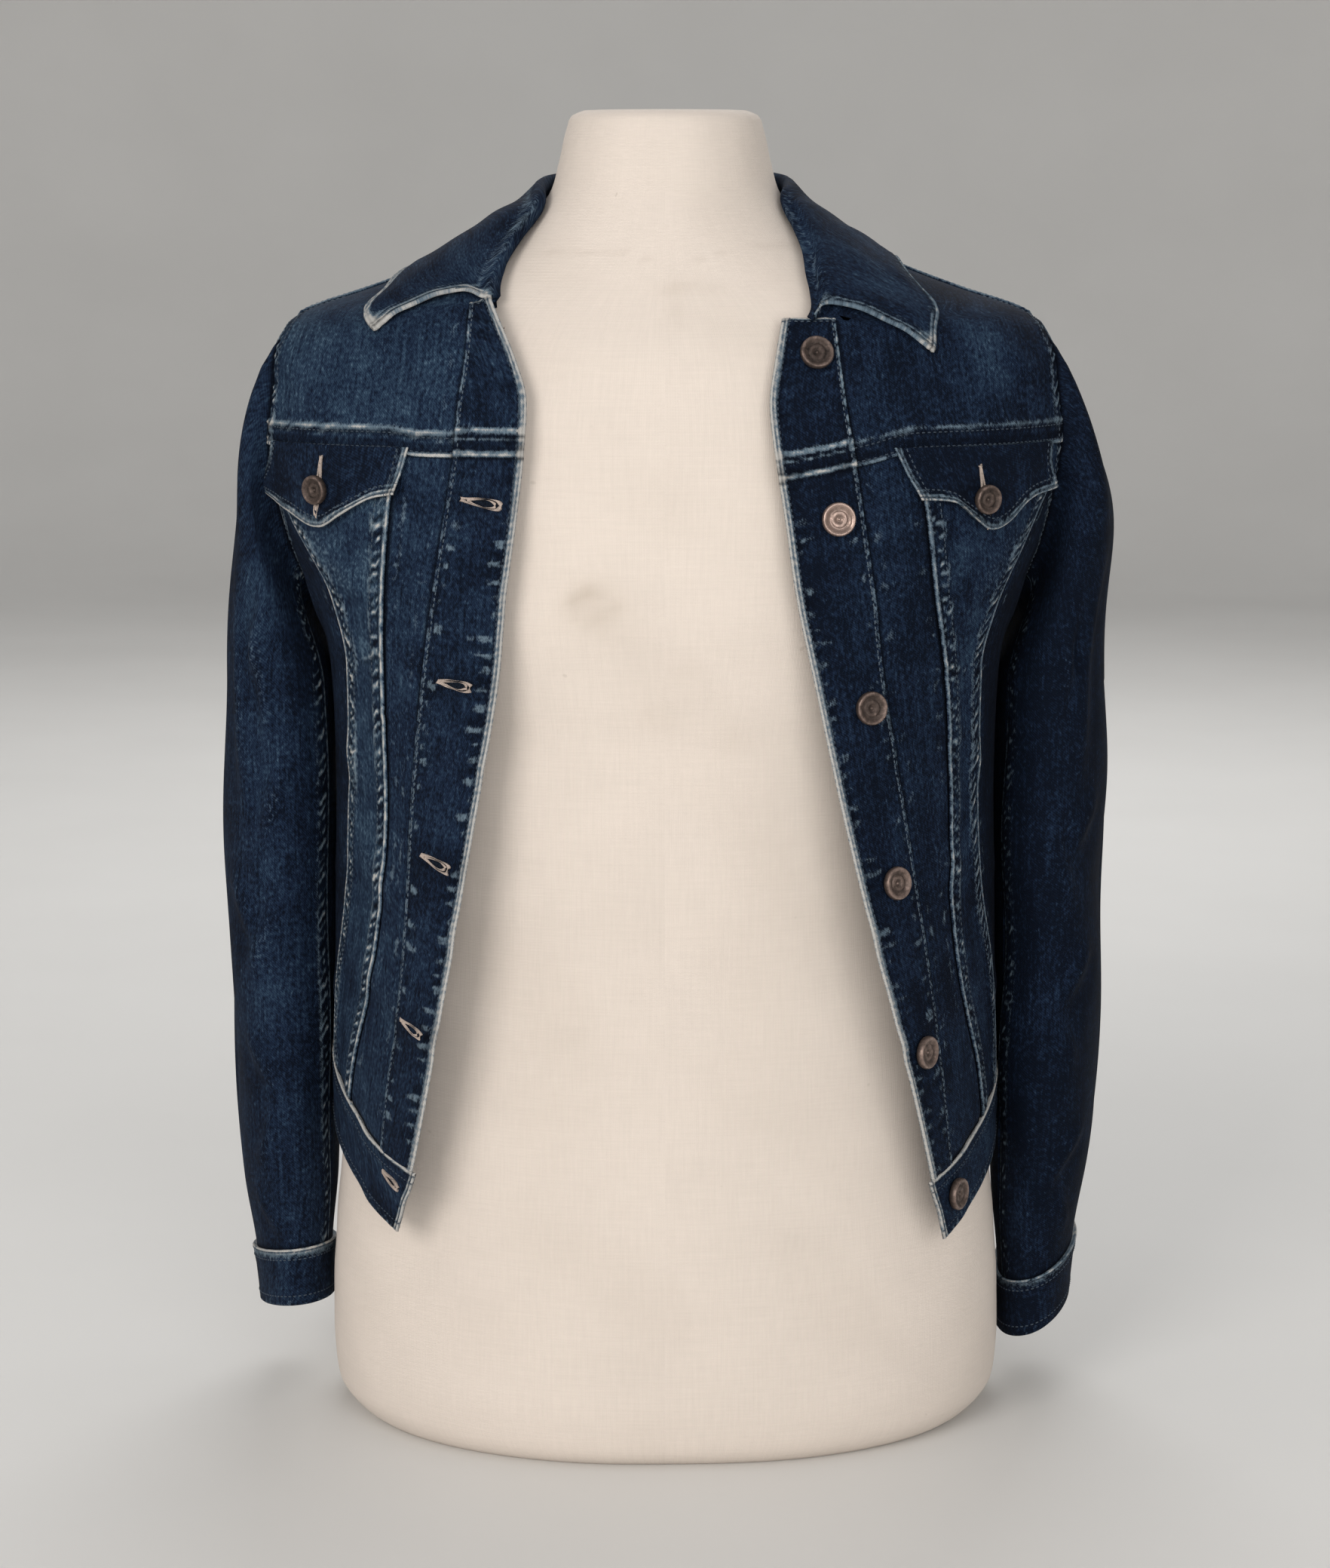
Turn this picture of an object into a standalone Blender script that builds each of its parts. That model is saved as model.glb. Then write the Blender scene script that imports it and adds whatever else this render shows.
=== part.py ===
"""Fitted denim jacket, worn open on a limbless dress form that stands on its flat base.

Metres, +Z up.  The origin is the middle of the base; the front faces -Y, so the wearer's left is +X.
Every cloth piece is a sheet of its own: a grid laid on the jacket's form, given its wall by Solidify.
"""
import math

import bmesh
import bpy
import numpy as np

DENIM_WALL = 0.0016
PLACKET_WALL = 0.0026
BAND_WALL = 0.0024
COLLAR_WALL = 0.0022
FLAP_WALL = 0.0020
SEAM_GAP = 0.00035
LAY_GAP = 0.0005
WAIST_GAP = 0.0008
SLEEVE_GAP = 0.0010
SLEEVE_LAP = 0.0015
YOKE_SEAM = 0.535
SIDE_PANEL_TOP = 0.510
PANEL_ROWS = 12
SIDE_PANEL_ROWS = 11
BACK_ROWS = 10
PLACKET_ROWS = 18
SIDE_SHARE = SIDE_PANEL_ROWS / PANEL_ROWS
NECKLINE = 0.652
FRONT_NECKLINE = 0.649
WAISTBAND_DEPTH = 0.038
CUFF_DEPTH = 0.033
BUTTON_DIAMETER = 0.017
FLAP_BUTTON_DIAMETER = 0.015
BUTTON_THICKNESS = 0.0042
ARMHOLE_MIDDLE = 0.519
ARMHOLE_HALF_HEIGHT = 0.075
ARMHOLE_HALF_DEPTH = 0.0585
ARMHOLE_DRIFT = 0.034
SHOULDER_POINT = ARMHOLE_MIDDLE + ARMHOLE_HALF_HEIGHT
UNDERARM_POINT = ARMHOLE_MIDDLE - ARMHOLE_HALF_HEIGHT
SETTLE_STEPS = 12
FORM_SIDES = 44
BUTTON_SIDES = 18
QUARTER = math.pi / 2

INDIGO = (0.020, 0.045, 0.095, 1.0)
FADED_INDIGO = (0.050, 0.110, 0.180, 1.0)
LINEN = (0.78, 0.70, 0.60, 1.0)
COPPER = (0.33, 0.19, 0.13, 1.0)


def table(columns, *rows):
    """A short table: one array for each named column."""
    values = np.array(rows, float)
    return {name: values[:, index] for index, name in enumerate(columns.split())}


def read(source, column, at, key="height"):
    """Value of a column where the key column reads `at`, on a smooth curve that never overshoots."""
    knots, values = source[key], source[column]
    steps = np.diff(knots)
    slopes = np.diff(values) / steps
    tangents = np.concatenate([slopes[:1], (slopes[:-1] + slopes[1:]) / 2, slopes[-1:]])
    limit = 3 * np.minimum(abs(slopes[:-1]), abs(slopes[1:]))
    tangents[1:-1] = np.clip(tangents[1:-1], -limit, limit)
    tangents[1:-1][slopes[:-1] * slopes[1:] <= 0] = 0
    at = np.clip(np.asarray(at, float), knots[0], knots[-1])
    index = np.clip(np.searchsorted(knots, at, side="right") - 1, 0, len(knots) - 2)
    t = (at - knots[index]) / steps[index]
    start = values[index] * (1 + 2 * t) * (1 - t) ** 2
    end = values[index + 1] * t * t * (3 - 2 * t)
    bend = tangents[index] * t * (1 - t) ** 2 + tangents[index + 1] * t * t * (t - 1)
    return start + end + steps[index] * bend


# Level sections of the form and of the jacket's inner face.  A section is a rounded box:
# half its width, its reach forward and back of the middle, and how square it is (2 is an ellipse).
FORM = table(
    "height half_width front back square front_square",
    (0.000, 0.166, 0.105, 0.104, 2.20, 2.20),
    (0.005, 0.172, 0.112, 0.110, 2.20, 2.20),
    (0.018, 0.1815, 0.117, 0.114, 2.20, 2.20),
    (0.040, 0.1830, 0.118, 0.116, 2.20, 2.20),
    (0.095, 0.1815, 0.116, 0.115, 2.20, 2.20),
    (0.150, 0.1765, 0.112, 0.112, 2.20, 2.20),
    (0.200, 0.1745, 0.110, 0.110, 2.20, 2.20),
    (0.290, 0.169, 0.106, 0.104, 2.20, 2.20),
    (0.380, 0.167, 0.107, 0.101, 2.20, 2.20),
    (0.450, 0.173, 0.112, 0.103, 2.30, 2.30),
    (0.530, 0.184, 0.106, 0.106, 2.30, 2.30),
    (0.568, 0.1855, 0.096, 0.103, 2.20, 2.20),
    (0.585, 0.1810, 0.0895, 0.098, 2.15, 2.15),
    (0.5955, 0.1700, 0.0835, 0.093, 2.10, 2.10),
    (0.6055, 0.1500, 0.0775, 0.086, 2.05, 2.05),
    (0.6170, 0.1200, 0.0715, 0.079, 2.00, 2.00),
    (0.6305, 0.0920, 0.0660, 0.072, 2.00, 2.00),
    (0.6435, 0.0725, 0.0615, 0.0655, 2.00, 2.00),
    (0.6570, 0.0605, 0.0570, 0.0590, 2.00, 2.00),
    (0.6740, 0.0550, 0.0535, 0.0550, 2.00, 2.00),
    (0.6920, 0.0505, 0.0500, 0.0505, 2.00, 2.00),
    (0.6980, 0.0475, 0.0470, 0.0475, 2.00, 2.00),
    (0.7000, 0.0420, 0.0415, 0.0420, 2.00, 2.00),
)
JACKET = table(
    "height half_width front back square front_square",
    (0.080, 0.1795, 0.205, 0.120, 2.30, 1.60),
    (0.175, 0.1795, 0.200, 0.119, 2.30, 1.62),
    (0.240, 0.1780, 0.188, 0.118, 2.30, 1.65),
    (0.300, 0.1765, 0.165, 0.117, 2.30, 1.75),
    (0.355, 0.1750, 0.146, 0.116, 2.30, 1.90),
    (0.415, 0.1765, 0.129, 0.117, 2.30, 2.20),
    (0.450, 0.1850, 0.122, 0.118, 2.40, 2.40),
    (0.487, 0.1970, 0.119, 0.119, 2.50, 2.50),
    (0.536, 0.2075, 0.111, 0.117, 2.50, 2.50),
    (0.568, 0.2080, 0.101, 0.111, 2.30, 2.30),
    (0.585, 0.2010, 0.094, 0.105, 2.20, 2.20),
    (0.597, 0.1855, 0.0875, 0.098, 2.10, 2.10),
    (0.6075, 0.1540, 0.0805, 0.090, 2.05, 2.05),
    (0.6190, 0.1230, 0.0745, 0.083, 2.00, 2.00),
    (0.6325, 0.0945, 0.0690, 0.0755, 2.00, 2.00),
    (0.6455, 0.0745, 0.0645, 0.0685, 2.00, 2.00),
    (0.6590, 0.0625, 0.0600, 0.0620, 2.00, 2.00),
    (0.6760, 0.0575, 0.0560, 0.0575, 2.00, 2.00),
    (0.6950, 0.0560, 0.0550, 0.0560, 2.00, 2.00),
)

# Where the seams of each front lie, out from the middle of the body; `stand` is how far
# the free edge of the placket stands off the form of the jacket.
FRONTS = {
    "right": table(
        "height edge placket centre side stand",
        (0.120, 0.1390, 0.1500, 0.1700, 0.1770, 0.000),
        (0.166, 0.1280, 0.1465, 0.1680, 0.1768, 0.000),
        (0.205, 0.1200, 0.1420, 0.1630, 0.1765, 0.000),
        (0.240, 0.1135, 0.1365, 0.1550, 0.1745, 0.000),
        (0.290, 0.1045, 0.1315, 0.1460, 0.1670, 0.000),
        (0.355, 0.0930, 0.1275, 0.1410, 0.1630, 0.000),
        (0.420, 0.0820, 0.1210, 0.1420, 0.1620, 0.000),
        (0.460, 0.0785, 0.1155, 0.1410, 0.1710, 0.000),
        (0.500, 0.0730, 0.1090, 0.1375, 0.1930, 0.000),
        (0.535, 0.0690, 0.1035, 0.1340, 0.2050, 0.000),
        (0.556, 0.0680, 0.1020, 0.1340, 0.2050, 0.001),
        (0.575, 0.0730, 0.0990, 0.1340, 0.2050, 0.002),
        (0.604, 0.0870, 0.0970, 0.1340, 0.2050, 0.005),
    ),
    "left": table(
        "height edge placket centre side stand",
        (0.115, 0.1450, 0.1540, 0.1720, 0.1770, 0.000),
        (0.160, 0.1360, 0.1480, 0.1690, 0.1768, 0.000),
        (0.203, 0.1260, 0.1430, 0.1640, 0.1765, 0.000),
        (0.250, 0.1140, 0.1365, 0.1530, 0.1730, 0.000),
        (0.303, 0.1000, 0.1280, 0.1460, 0.1640, 0.000),
        (0.357, 0.0870, 0.1190, 0.1450, 0.1610, 0.000),
        (0.420, 0.0735, 0.1085, 0.1410, 0.1610, 0.000),
        (0.460, 0.0650, 0.1040, 0.1350, 0.1720, 0.000),
        (0.500, 0.0590, 0.0980, 0.1300, 0.1900, 0.000),
        (0.535, 0.0535, 0.0925, 0.1250, 0.2050, 0.000),
        (0.556, 0.0515, 0.0890, 0.1250, 0.2050, 0.000),
        (0.575, 0.0540, 0.0865, 0.1250, 0.2050, 0.000),
        (0.597, 0.0580, 0.0840, 0.1250, 0.2050, 0.000),
    ),
}
PLACKET_TOP = {"right": 0.6035, "left": 0.5965}
NECK_STEP = 0.004
HEM = {
    "right": {"side": 0.169, "corner": 0.133},
    "left": {"side": 0.157, "corner": 0.122},
}
HEM_FALLS_FROM = math.radians(102)
HEM_FALLS_TO = math.radians(50)
BACK_HEM = 0.166
BACK_SEAM = table(
    "height out",
    (0.100, 0.112),
    (0.200, 0.105),
    (0.290, 0.095),
    (0.360, 0.093),
    (0.450, 0.108),
    (0.535, 0.124),
)
# How far forward of the middle the neck's seam runs at each height.
NECK_SEAM = table(
    "height forward",
    (0.580, 0.0930),
    (0.590, 0.0860),
    (0.603, 0.0680),
    (0.615, 0.0560),
    (0.630, 0.0380),
    (0.645, 0.0160),
    (0.652, 0.0000),
)
SIDE_SEAM = math.radians(96)

# The collar from its front end to the middle of the back: its seam, its fold and its free edge,
# each by the degrees round the body and the height; `spring` is how far the leaf bows off the yoke.
COLLARS = {
    "right": table(
        "station seam seam_height fold fold_height edge edge_height spring",
        (0.00, 33, 0.6055, 35, 0.6110, 49, 0.5915, 0.0010),
        (0.10, 42, 0.6155, 44, 0.6225, 53, 0.5975, 0.0020),
        (0.22, 56, 0.6310, 57, 0.6400, 62, 0.6060, 0.0040),
        (0.36, 74, 0.6460, 68, 0.6560, 80, 0.6140, 0.0050),
        (0.46, 92, 0.6550, 88, 0.6630, 94, 0.6170, 0.0045),
        (0.70, 130, 0.6550, 130, 0.6670, 130, 0.6130, 0.0030),
        (1.00, 180, 0.6550, 180, 0.6690, 180, 0.6100, 0.0030),
    ),
    "left": table(
        "station seam seam_height fold fold_height edge edge_height spring",
        (0.00, 24, 0.5990, 25, 0.6040, 39, 0.5810, 0.0010),
        (0.10, 37, 0.6140, 36, 0.6190, 44, 0.5950, 0.0015),
        (0.22, 55, 0.6310, 53, 0.6420, 62, 0.6140, 0.0020),
        (0.36, 74, 0.6460, 67, 0.6580, 84, 0.6220, 0.0030),
        (0.46, 92, 0.6550, 88, 0.6640, 95, 0.6220, 0.0030),
        (0.70, 130, 0.6550, 130, 0.6680, 130, 0.6150, 0.0030),
        (1.00, 180, 0.6550, 180, 0.6690, 180, 0.6100, 0.0030),
    ),
}
COLLAR_COLUMNS = 14
COLLAR_CROWD = 1.15
STAND_BELOW_FOLD = 0.0015
CREST_ABOVE_FOLD = 0.0012
LEAF_BELOW_FOLD = 0.0008
LEAF_FALL = 0.92
LEAF_FOLD_LIFT = 0.0052
LEAF_EDGE_LIFT = 0.0046

# The sleeves hang empty: level ovals, turned a few degrees so that the front edge points inwards.
SLEEVE = table(
    "height out back_of_middle half_width half_depth turn",
    (0.030, 0.2075, 0.026, 0.0175, 0.0445, 10),
    (0.080, 0.2090, 0.026, 0.0205, 0.0475, 10),
    (0.120, 0.2110, 0.026, 0.0240, 0.0515, 9),
    (0.200, 0.2130, 0.026, 0.0268, 0.0560, 6),
    (0.300, 0.2130, 0.026, 0.0270, 0.0600, 5),
    (0.400, 0.2110, 0.027, 0.0267, 0.0620, 4),
)
SLEEVE_HEAD_END = 0.400
HEAD_ROWS = 6
ARM_ROWS = 4
HEAD_PUFF = 0.030
HEAD_PUFF_BY_DROP = 0.25
HEAD_FALL_BY_DROP = 1.3
CUFF_HEM = {"right": 0.047, "left": 0.043}
CUFF_TILT = {"right": -0.20, "left": 0.0}
SLEEVE_FRONT_SEAM = math.radians(138)
SLEEVE_BACK_SEAM = math.radians(262)
CUFF_SLIT = math.radians(250)
SLEEVE_SEAM_GAP = 0.5

BUTTONS = table(
    "out height",
    (0.0745, 0.5790),
    (0.0850, 0.5000),
    (0.1010, 0.4055),
    (0.1140, 0.3160),
    (0.1300, 0.2270),
    (0.1495, 0.1440),
)
FLAPS = {
    "right": {"inner": 0.1290, "outer": 0.1985, "button": (0.1720, 0.5120)},
    "left": {"inner": 0.1190, "outer": 0.1980, "button": (0.1580, 0.5080)},
}
FLAP_TOP = 0.5325
FLAP = table(
    "across bottom",
    (0.00, 0.5120),
    (0.25, 0.5050),
    (0.42, 0.4955),
    (0.50, 0.4920),
    (0.58, 0.4955),
    (0.75, 0.5040),
    (1.00, 0.5080),
)
BUTTON_PROFILE = table(
    "out up",
    (0.00, 0.62),
    (0.34, 0.66),
    (0.60, 0.78),
    (0.80, 1.00),
    (0.97, 0.80),
    (1.00, 0.30),
    (0.92, 0.00),
    (0.00, 0.00),
)
SIGN = {"right": -1.0, "left": 1.0}


def section(rings, turn, height):
    """Point of a level section; the turn is 0 at the middle of the front and grows to the wearer's left."""
    turn, height = np.broadcast_arrays(np.asarray(turn, float), np.asarray(height, float))
    sine, cosine = np.sin(turn), np.cos(turn)
    ahead = cosine > 0
    reach = np.where(ahead, read(rings, "front", height), read(rings, "back", height))
    power = 2 / np.where(ahead, read(rings, "front_square", height), read(rings, "square", height))
    x = read(rings, "half_width", height) * np.sign(sine) * abs(sine) ** power
    y = -reach * np.sign(cosine) * abs(cosine) ** power
    return np.stack([x, y, height], -1)


def outward(rings, turn, height):
    """Unit normal of the form of the jacket, from small steps round and up."""
    step_turn, step_height = 0.02, 0.0015
    around = section(rings, turn + step_turn, height) - section(rings, turn - step_turn, height)
    upward = section(rings, turn, height + step_height) - section(rings, turn, height - step_height)
    normal = np.cross(around, upward)
    return normal / np.linalg.norm(normal, axis=-1, keepdims=True)


def raised(turn, height, lift):
    """Point of the jacket's inner face, moved out by `lift`."""
    lift = np.asarray(lift, float)[..., None]
    return section(JACKET, turn, height) + lift * outward(JACKET, turn, height)


def turn_at_width(out, height):
    """Turn at which the front of the jacket lies `out` from the middle."""
    share = np.clip(np.asarray(out) / read(JACKET, "half_width", height), 0, 1)
    return np.arcsin(share ** (read(JACKET, "front_square", height) / 2))


def turn_at_depth(forward, height):
    """Turn at which the jacket lies `forward` of the middle, or behind it where negative."""
    ahead = forward > 0
    reach = np.where(ahead, read(JACKET, "front", height), read(JACKET, "back", height))
    square = np.where(ahead, read(JACKET, "front_square", height), read(JACKET, "square", height))
    lean = np.arcsin(np.clip(abs(forward) / reach, 0, 1) ** (square / 2))
    return QUARTER - np.sign(forward) * lean


def back_seam(height):
    """Turn of the seam that runs down each side of the back."""
    share = read(BACK_SEAM, "out", height) / read(JACKET, "half_width", height)
    return math.pi - np.arcsin(share ** (read(JACKET, "square", height) / 2))


def armhole(height, forward):
    """Turn of the armhole's front or back edge, an oval that closes at the shoulder and under the arm."""
    rise = np.clip((height - ARMHOLE_MIDDLE) / ARMHOLE_HALF_HEIGHT, -1, 1)
    sine = np.sqrt(1 - rise ** 2)
    middle = ARMHOLE_DRIFT * (1 - ((1 + rise) / 2) ** 2)
    return turn_at_depth(forward * ARMHOLE_HALF_DEPTH * sine - middle, height)


def hem(turn, side):
    """Height of the hem: level at the back, falling towards the open fronts."""
    share = np.clip((HEM_FALLS_FROM - turn) / (HEM_FALLS_FROM - HEM_FALLS_TO), 0, 1)
    fall = share * share * (3 - 2 * share)
    round_back = np.clip((turn - HEM_FALLS_FROM) / (math.pi - HEM_FALLS_FROM), 0, 1)
    side_height = HEM[side]["side"] + (BACK_HEM - HEM[side]["side"]) * round_back
    return side_height + (HEM[side]["corner"] - HEM[side]["side"]) * fall


def above_waistband(side):
    """Bottom edge of the panels that are sewn to the waistband."""
    return lambda turn: hem(turn, side) + WAISTBAND_DEPTH + WAIST_GAP


def level(height):
    """An edge at one height."""
    return lambda turn: height + 0 * turn


def even(count):
    """Shares from 0 to 1 in equal steps."""
    return np.linspace(0, 1, count + 1)


def patch(start, end, bottom, top, shares, columns, gap=SEAM_GAP):
    """Turns and heights of a grid between two seams that depend on height and two that depend on turn."""
    v = shares[:, None]
    u = even(columns)[None, :]
    height = YOKE_SEAM + 0 * u + 0 * v
    for _ in range(SETTLE_STEPS):
        half_gap = gap / 2 / read(JACKET, "half_width", height)
        turn = (start(height) + half_gap) * (1 - u) + (end(height) - half_gap) * u
        height = bottom(turn) * (1 - v) + top(turn) * v
    return turn, height


def finish_sheet(name, points, wall, colour, offset=1.0):
    """A cloth piece: a grid of points, thickened outwards, or both ways where the offset is 0."""
    rows, columns = points.shape[0] - 1, points.shape[1] - 1
    mesh = bpy.data.meshes.new(name)
    work = bmesh.new()
    bmesh.ops.create_grid(work, x_segments=columns, y_segments=rows, size=1.0)
    for vertex in work.verts:
        column = round((vertex.co.x + 1) / 2 * columns)
        row = round((vertex.co.y + 1) / 2 * rows)
        vertex.co = points[row, column]
    work.to_mesh(mesh)
    work.free()
    piece = add_object(name, mesh, colour, 0.9, 0.0)
    wall_modifier = piece.modifiers.new("Wall", "SOLIDIFY")
    wall_modifier.thickness = wall
    wall_modifier.offset = offset


def add_object(name, mesh, colour, roughness, metallic):
    """A named object with a material of its own, in the jacket's collection."""
    material = bpy.data.materials.new(name)
    material.use_nodes = True
    shader = material.node_tree.nodes["Principled BSDF"]
    shader.inputs["Base Color"].default_value = colour
    shader.inputs["Roughness"].default_value = roughness
    shader.inputs["Metallic"].default_value = metallic
    mesh.materials.append(material)
    piece = bpy.data.objects.new(name, mesh)
    JACKET_PARTS.objects.link(piece)
    piece.parent = BASE
    mesh.shade_smooth()
    return piece


def mirror_if_right(points, side):
    """Points worked out for the wearer's left, moved across for the right, with the grid's direction kept."""
    if side == "left":
        return points
    return (points * np.array([-1.0, 1.0, 1.0]))[:, ::-1]


def make_form():
    """The dress form: one closed body lofted through its rings, flat under and on the neck."""
    heights = FORM["height"]
    turns = np.arange(FORM_SIDES) * 2 * math.pi / FORM_SIDES
    mesh = bpy.data.meshes.new("dress_form")
    work = bmesh.new()
    rings = []
    for height in heights:
        ring = [work.verts.new(point) for point in section(FORM, turns, height)]
        rings.append(ring)
    for lower, upper in zip(rings, rings[1:]):
        for index in range(FORM_SIDES):
            following = (index + 1) % FORM_SIDES
            work.faces.new((lower[index], lower[following], upper[following], upper[index]))
    work.faces.new(rings[0][::-1])
    work.faces.new(rings[-1])
    bmesh.ops.recalc_face_normals(work, faces=work.faces)
    work.to_mesh(mesh)
    work.free()
    add_object("dress_form", mesh, LINEN, 0.95, 0.0)


def make_front_panels(side):
    """Placket, centre panel, pocket panel and side panel of one front, below the yoke."""
    front = FRONTS[side]

    def seam(column):
        return lambda height: turn_at_width(read(front, column, height), height)

    def outer_edge(height):
        beside_side_panel = height < SIDE_PANEL_TOP
        return np.where(beside_side_panel, seam("side")(height), armhole(height, 1.0))

    def side_panel_top(turn):
        return above_waistband(side)(turn) * (1 - SIDE_SHARE) + (YOKE_SEAM - SEAM_GAP) * SIDE_SHARE

    def side_panel_edge(height):
        under_arm = height < UNDERARM_POINT
        return np.where(under_arm, SIDE_SEAM, np.minimum(armhole(height, 1.0), SIDE_SEAM))

    bottom = above_waistband(side)
    top = level(YOKE_SEAM - SEAM_GAP)
    panels = (
        ("front_centre", seam("placket"), seam("centre"), top, PANEL_ROWS, 3),
        ("pocket_panel", seam("centre"), outer_edge, top, PANEL_ROWS, 4),
        ("front_side", seam("side"), side_panel_edge, side_panel_top, SIDE_PANEL_ROWS, 4),
    )
    for name, start, end, panel_top, rows, columns in panels:
        turn, height = patch(start, end, bottom, panel_top, even(rows), columns)
        points = mirror_if_right(section(JACKET, turn, height), side)
        finish_sheet(f"{name}_{side}", points, DENIM_WALL, FADED_INDIGO)


def make_placket(side):
    """The button band of one front, from the neck to the waistband."""
    front = FRONTS[side]

    def seam(column):
        return lambda height: turn_at_width(read(front, column, height), height)

    turn, height = patch(
        seam("edge"),
        seam("placket"),
        above_waistband(side),
        level(PLACKET_TOP[side]),
        even(PLACKET_ROWS),
        3,
        gap=3 * SEAM_GAP,
    )
    towards_edge = np.linspace(1, 0, turn.shape[1])[None, :] ** 2
    points = raised(turn, height, read(front, "stand", height) * towards_edge)
    finish_sheet(f"placket_{side}", mirror_if_right(points, side), PLACKET_WALL, INDIGO)


def neck_edge(height):
    """Turn of the neck's seam on the front."""
    return turn_at_depth(read(NECK_SEAM, "forward", height), height)


def yoke_shares(top, below, above):
    """Rows of a yoke, with one at the shoulder point, where the armhole closes."""
    shoulder = (SHOULDER_POINT - YOKE_SEAM) / (top - YOKE_SEAM)
    return np.concatenate([even(below) * shoulder, (shoulder + (1 - shoulder) * even(above))[1:]])


def make_front_yoke(side):
    """The yoke of one front, up to the shoulder seam and the neck."""
    front = FRONTS[side]

    def start(height):
        placket = turn_at_width(read(front, "placket", height), height)
        at_neck = height > PLACKET_TOP[side] - NECK_STEP
        return np.where(at_neck, np.maximum(placket, neck_edge(height)), placket)

    def end(height):
        return armhole(height, 1.0)

    shares = yoke_shares(FRONT_NECKLINE, 6, 7)
    turn, height = patch(start, end, level(YOKE_SEAM), level(FRONT_NECKLINE), shares, 8)
    points = section(JACKET, turn, height)
    finish_sheet(f"front_yoke_{side}", mirror_if_right(points, side), DENIM_WALL, FADED_INDIGO)


def make_back():
    """Back yoke, two side backs and the centre back."""
    full_turn = 2 * math.pi

    def yoke_start(height):
        return armhole(height, -1.0)

    def yoke_end(height):
        return full_turn - armhole(height, -1.0)

    shares = yoke_shares(NECKLINE, 5, 6)
    turn, height = patch(yoke_start, yoke_end, level(YOKE_SEAM), level(NECKLINE), shares, 20)
    finish_sheet("back_yoke", section(JACKET, turn, height), DENIM_WALL, FADED_INDIGO)

    def back_bottom(turn):
        left = hem(turn, "left")
        right = hem(full_turn - turn, "right")
        return np.where(turn < math.pi, left, right) + WAISTBAND_DEPTH + WAIST_GAP

    def other_back_seam(height):
        return full_turn - back_seam(height)

    top = level(YOKE_SEAM - SEAM_GAP)
    turn, height = patch(back_seam, other_back_seam, back_bottom, top, even(BACK_ROWS), 7)
    finish_sheet("back_centre", section(JACKET, turn, height), DENIM_WALL, FADED_INDIGO)

    def side_start(height):
        under_arm = height < UNDERARM_POINT
        return np.where(under_arm, SIDE_SEAM, np.maximum(armhole(height, -1.0), SIDE_SEAM))

    for side in SIGN:
        turn, height = patch(side_start, back_seam, above_waistband(side), top, even(BACK_ROWS), 6)
        points = mirror_if_right(section(JACKET, turn, height), side)
        finish_sheet(f"back_side_{side}", points, DENIM_WALL, INDIGO)


def make_waistband():
    """One band round the body, from one front corner to the other."""
    share = even(2)[:, None]
    around = even(40)[None, :]
    turn = QUARTER + math.pi * around + 0 * share
    for _ in range(SETTLE_STEPS):
        lower = np.where(turn < math.pi, hem(turn, "left"), hem(2 * math.pi - turn, "right"))
        height = lower + WAISTBAND_DEPTH * share
        start = turn_at_width(read(FRONTS["left"], "edge", height[:, :1]), height[:, :1])
        end = turn_at_width(read(FRONTS["right"], "edge", height[:, -1:]), height[:, -1:])
        turn = start + (2 * math.pi - end - start) * around
    finish_sheet("waistband", section(JACKET, turn, height), BAND_WALL, INDIGO)


def collar_half(side):
    """Grid of one half of the collar: rows from the neck seam over the fold to the free edge."""
    source = COLLARS[side]
    station = even(COLLAR_COLUMNS) ** COLLAR_CROWD

    def value(column):
        return read(source, column, station, "station")

    seam, fold, edge = (np.radians(value(name)) for name in ("seam", "fold", "edge"))
    seam_height, fold_height, edge_height = (value(f"{name}_height") for name in ("seam", "fold", "edge"))
    rows = []
    for share in (0.0, 0.5, 1.0):
        turn = seam + (fold - seam) * share
        height = seam_height + (fold_height - STAND_BELOW_FOLD - seam_height) * share
        rows.append(raised(turn, height, np.full(station.shape, LAY_GAP)))
    rows.append(raised(fold, fold_height + CREST_ABOVE_FOLD, np.full(station.shape, LEAF_FOLD_LIFT / 2)))
    spring = value("spring")
    for share in (0.0, 0.12, 0.3, 0.5, 0.7, 0.85, 1.0):
        turn = fold + (edge - fold) * share
        height = fold_height - LEAF_BELOW_FOLD + (edge_height - fold_height) * share ** LEAF_FALL
        rest = LEAF_FOLD_LIFT + (LEAF_EDGE_LIFT - LEAF_FOLD_LIFT) * share
        rows.append(raised(turn, height, rest + spring * math.sin(math.pi * share)))
    return np.stack(rows)


def make_collar():
    """The collar: a short stand that folds over and falls on the yokes, in one piece."""
    left = collar_half("left")
    right = collar_half("right") * np.array([-1.0, 1.0, 1.0])
    points = np.concatenate([left, right[:, -2::-1]], axis=1)
    finish_sheet("collar", points, COLLAR_WALL, INDIGO, offset=0.0)


def make_flap(side):
    """The pointed flap of one chest pocket, lying on the panels under the yoke seam."""
    flap = FLAPS[side]
    across = even(12)[None, :]
    down = even(3)[::-1][:, None]
    bottom = read(FLAP, "bottom", across, "across")
    height = FLAP_TOP + (bottom - FLAP_TOP) * down
    out = flap["inner"] + (flap["outer"] - flap["inner"]) * across
    points = raised(turn_at_width(out, height), height, DENIM_WALL + LAY_GAP)
    finish_sheet(f"flap_{side}", mirror_if_right(points, side), FLAP_WALL, INDIGO)


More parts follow.
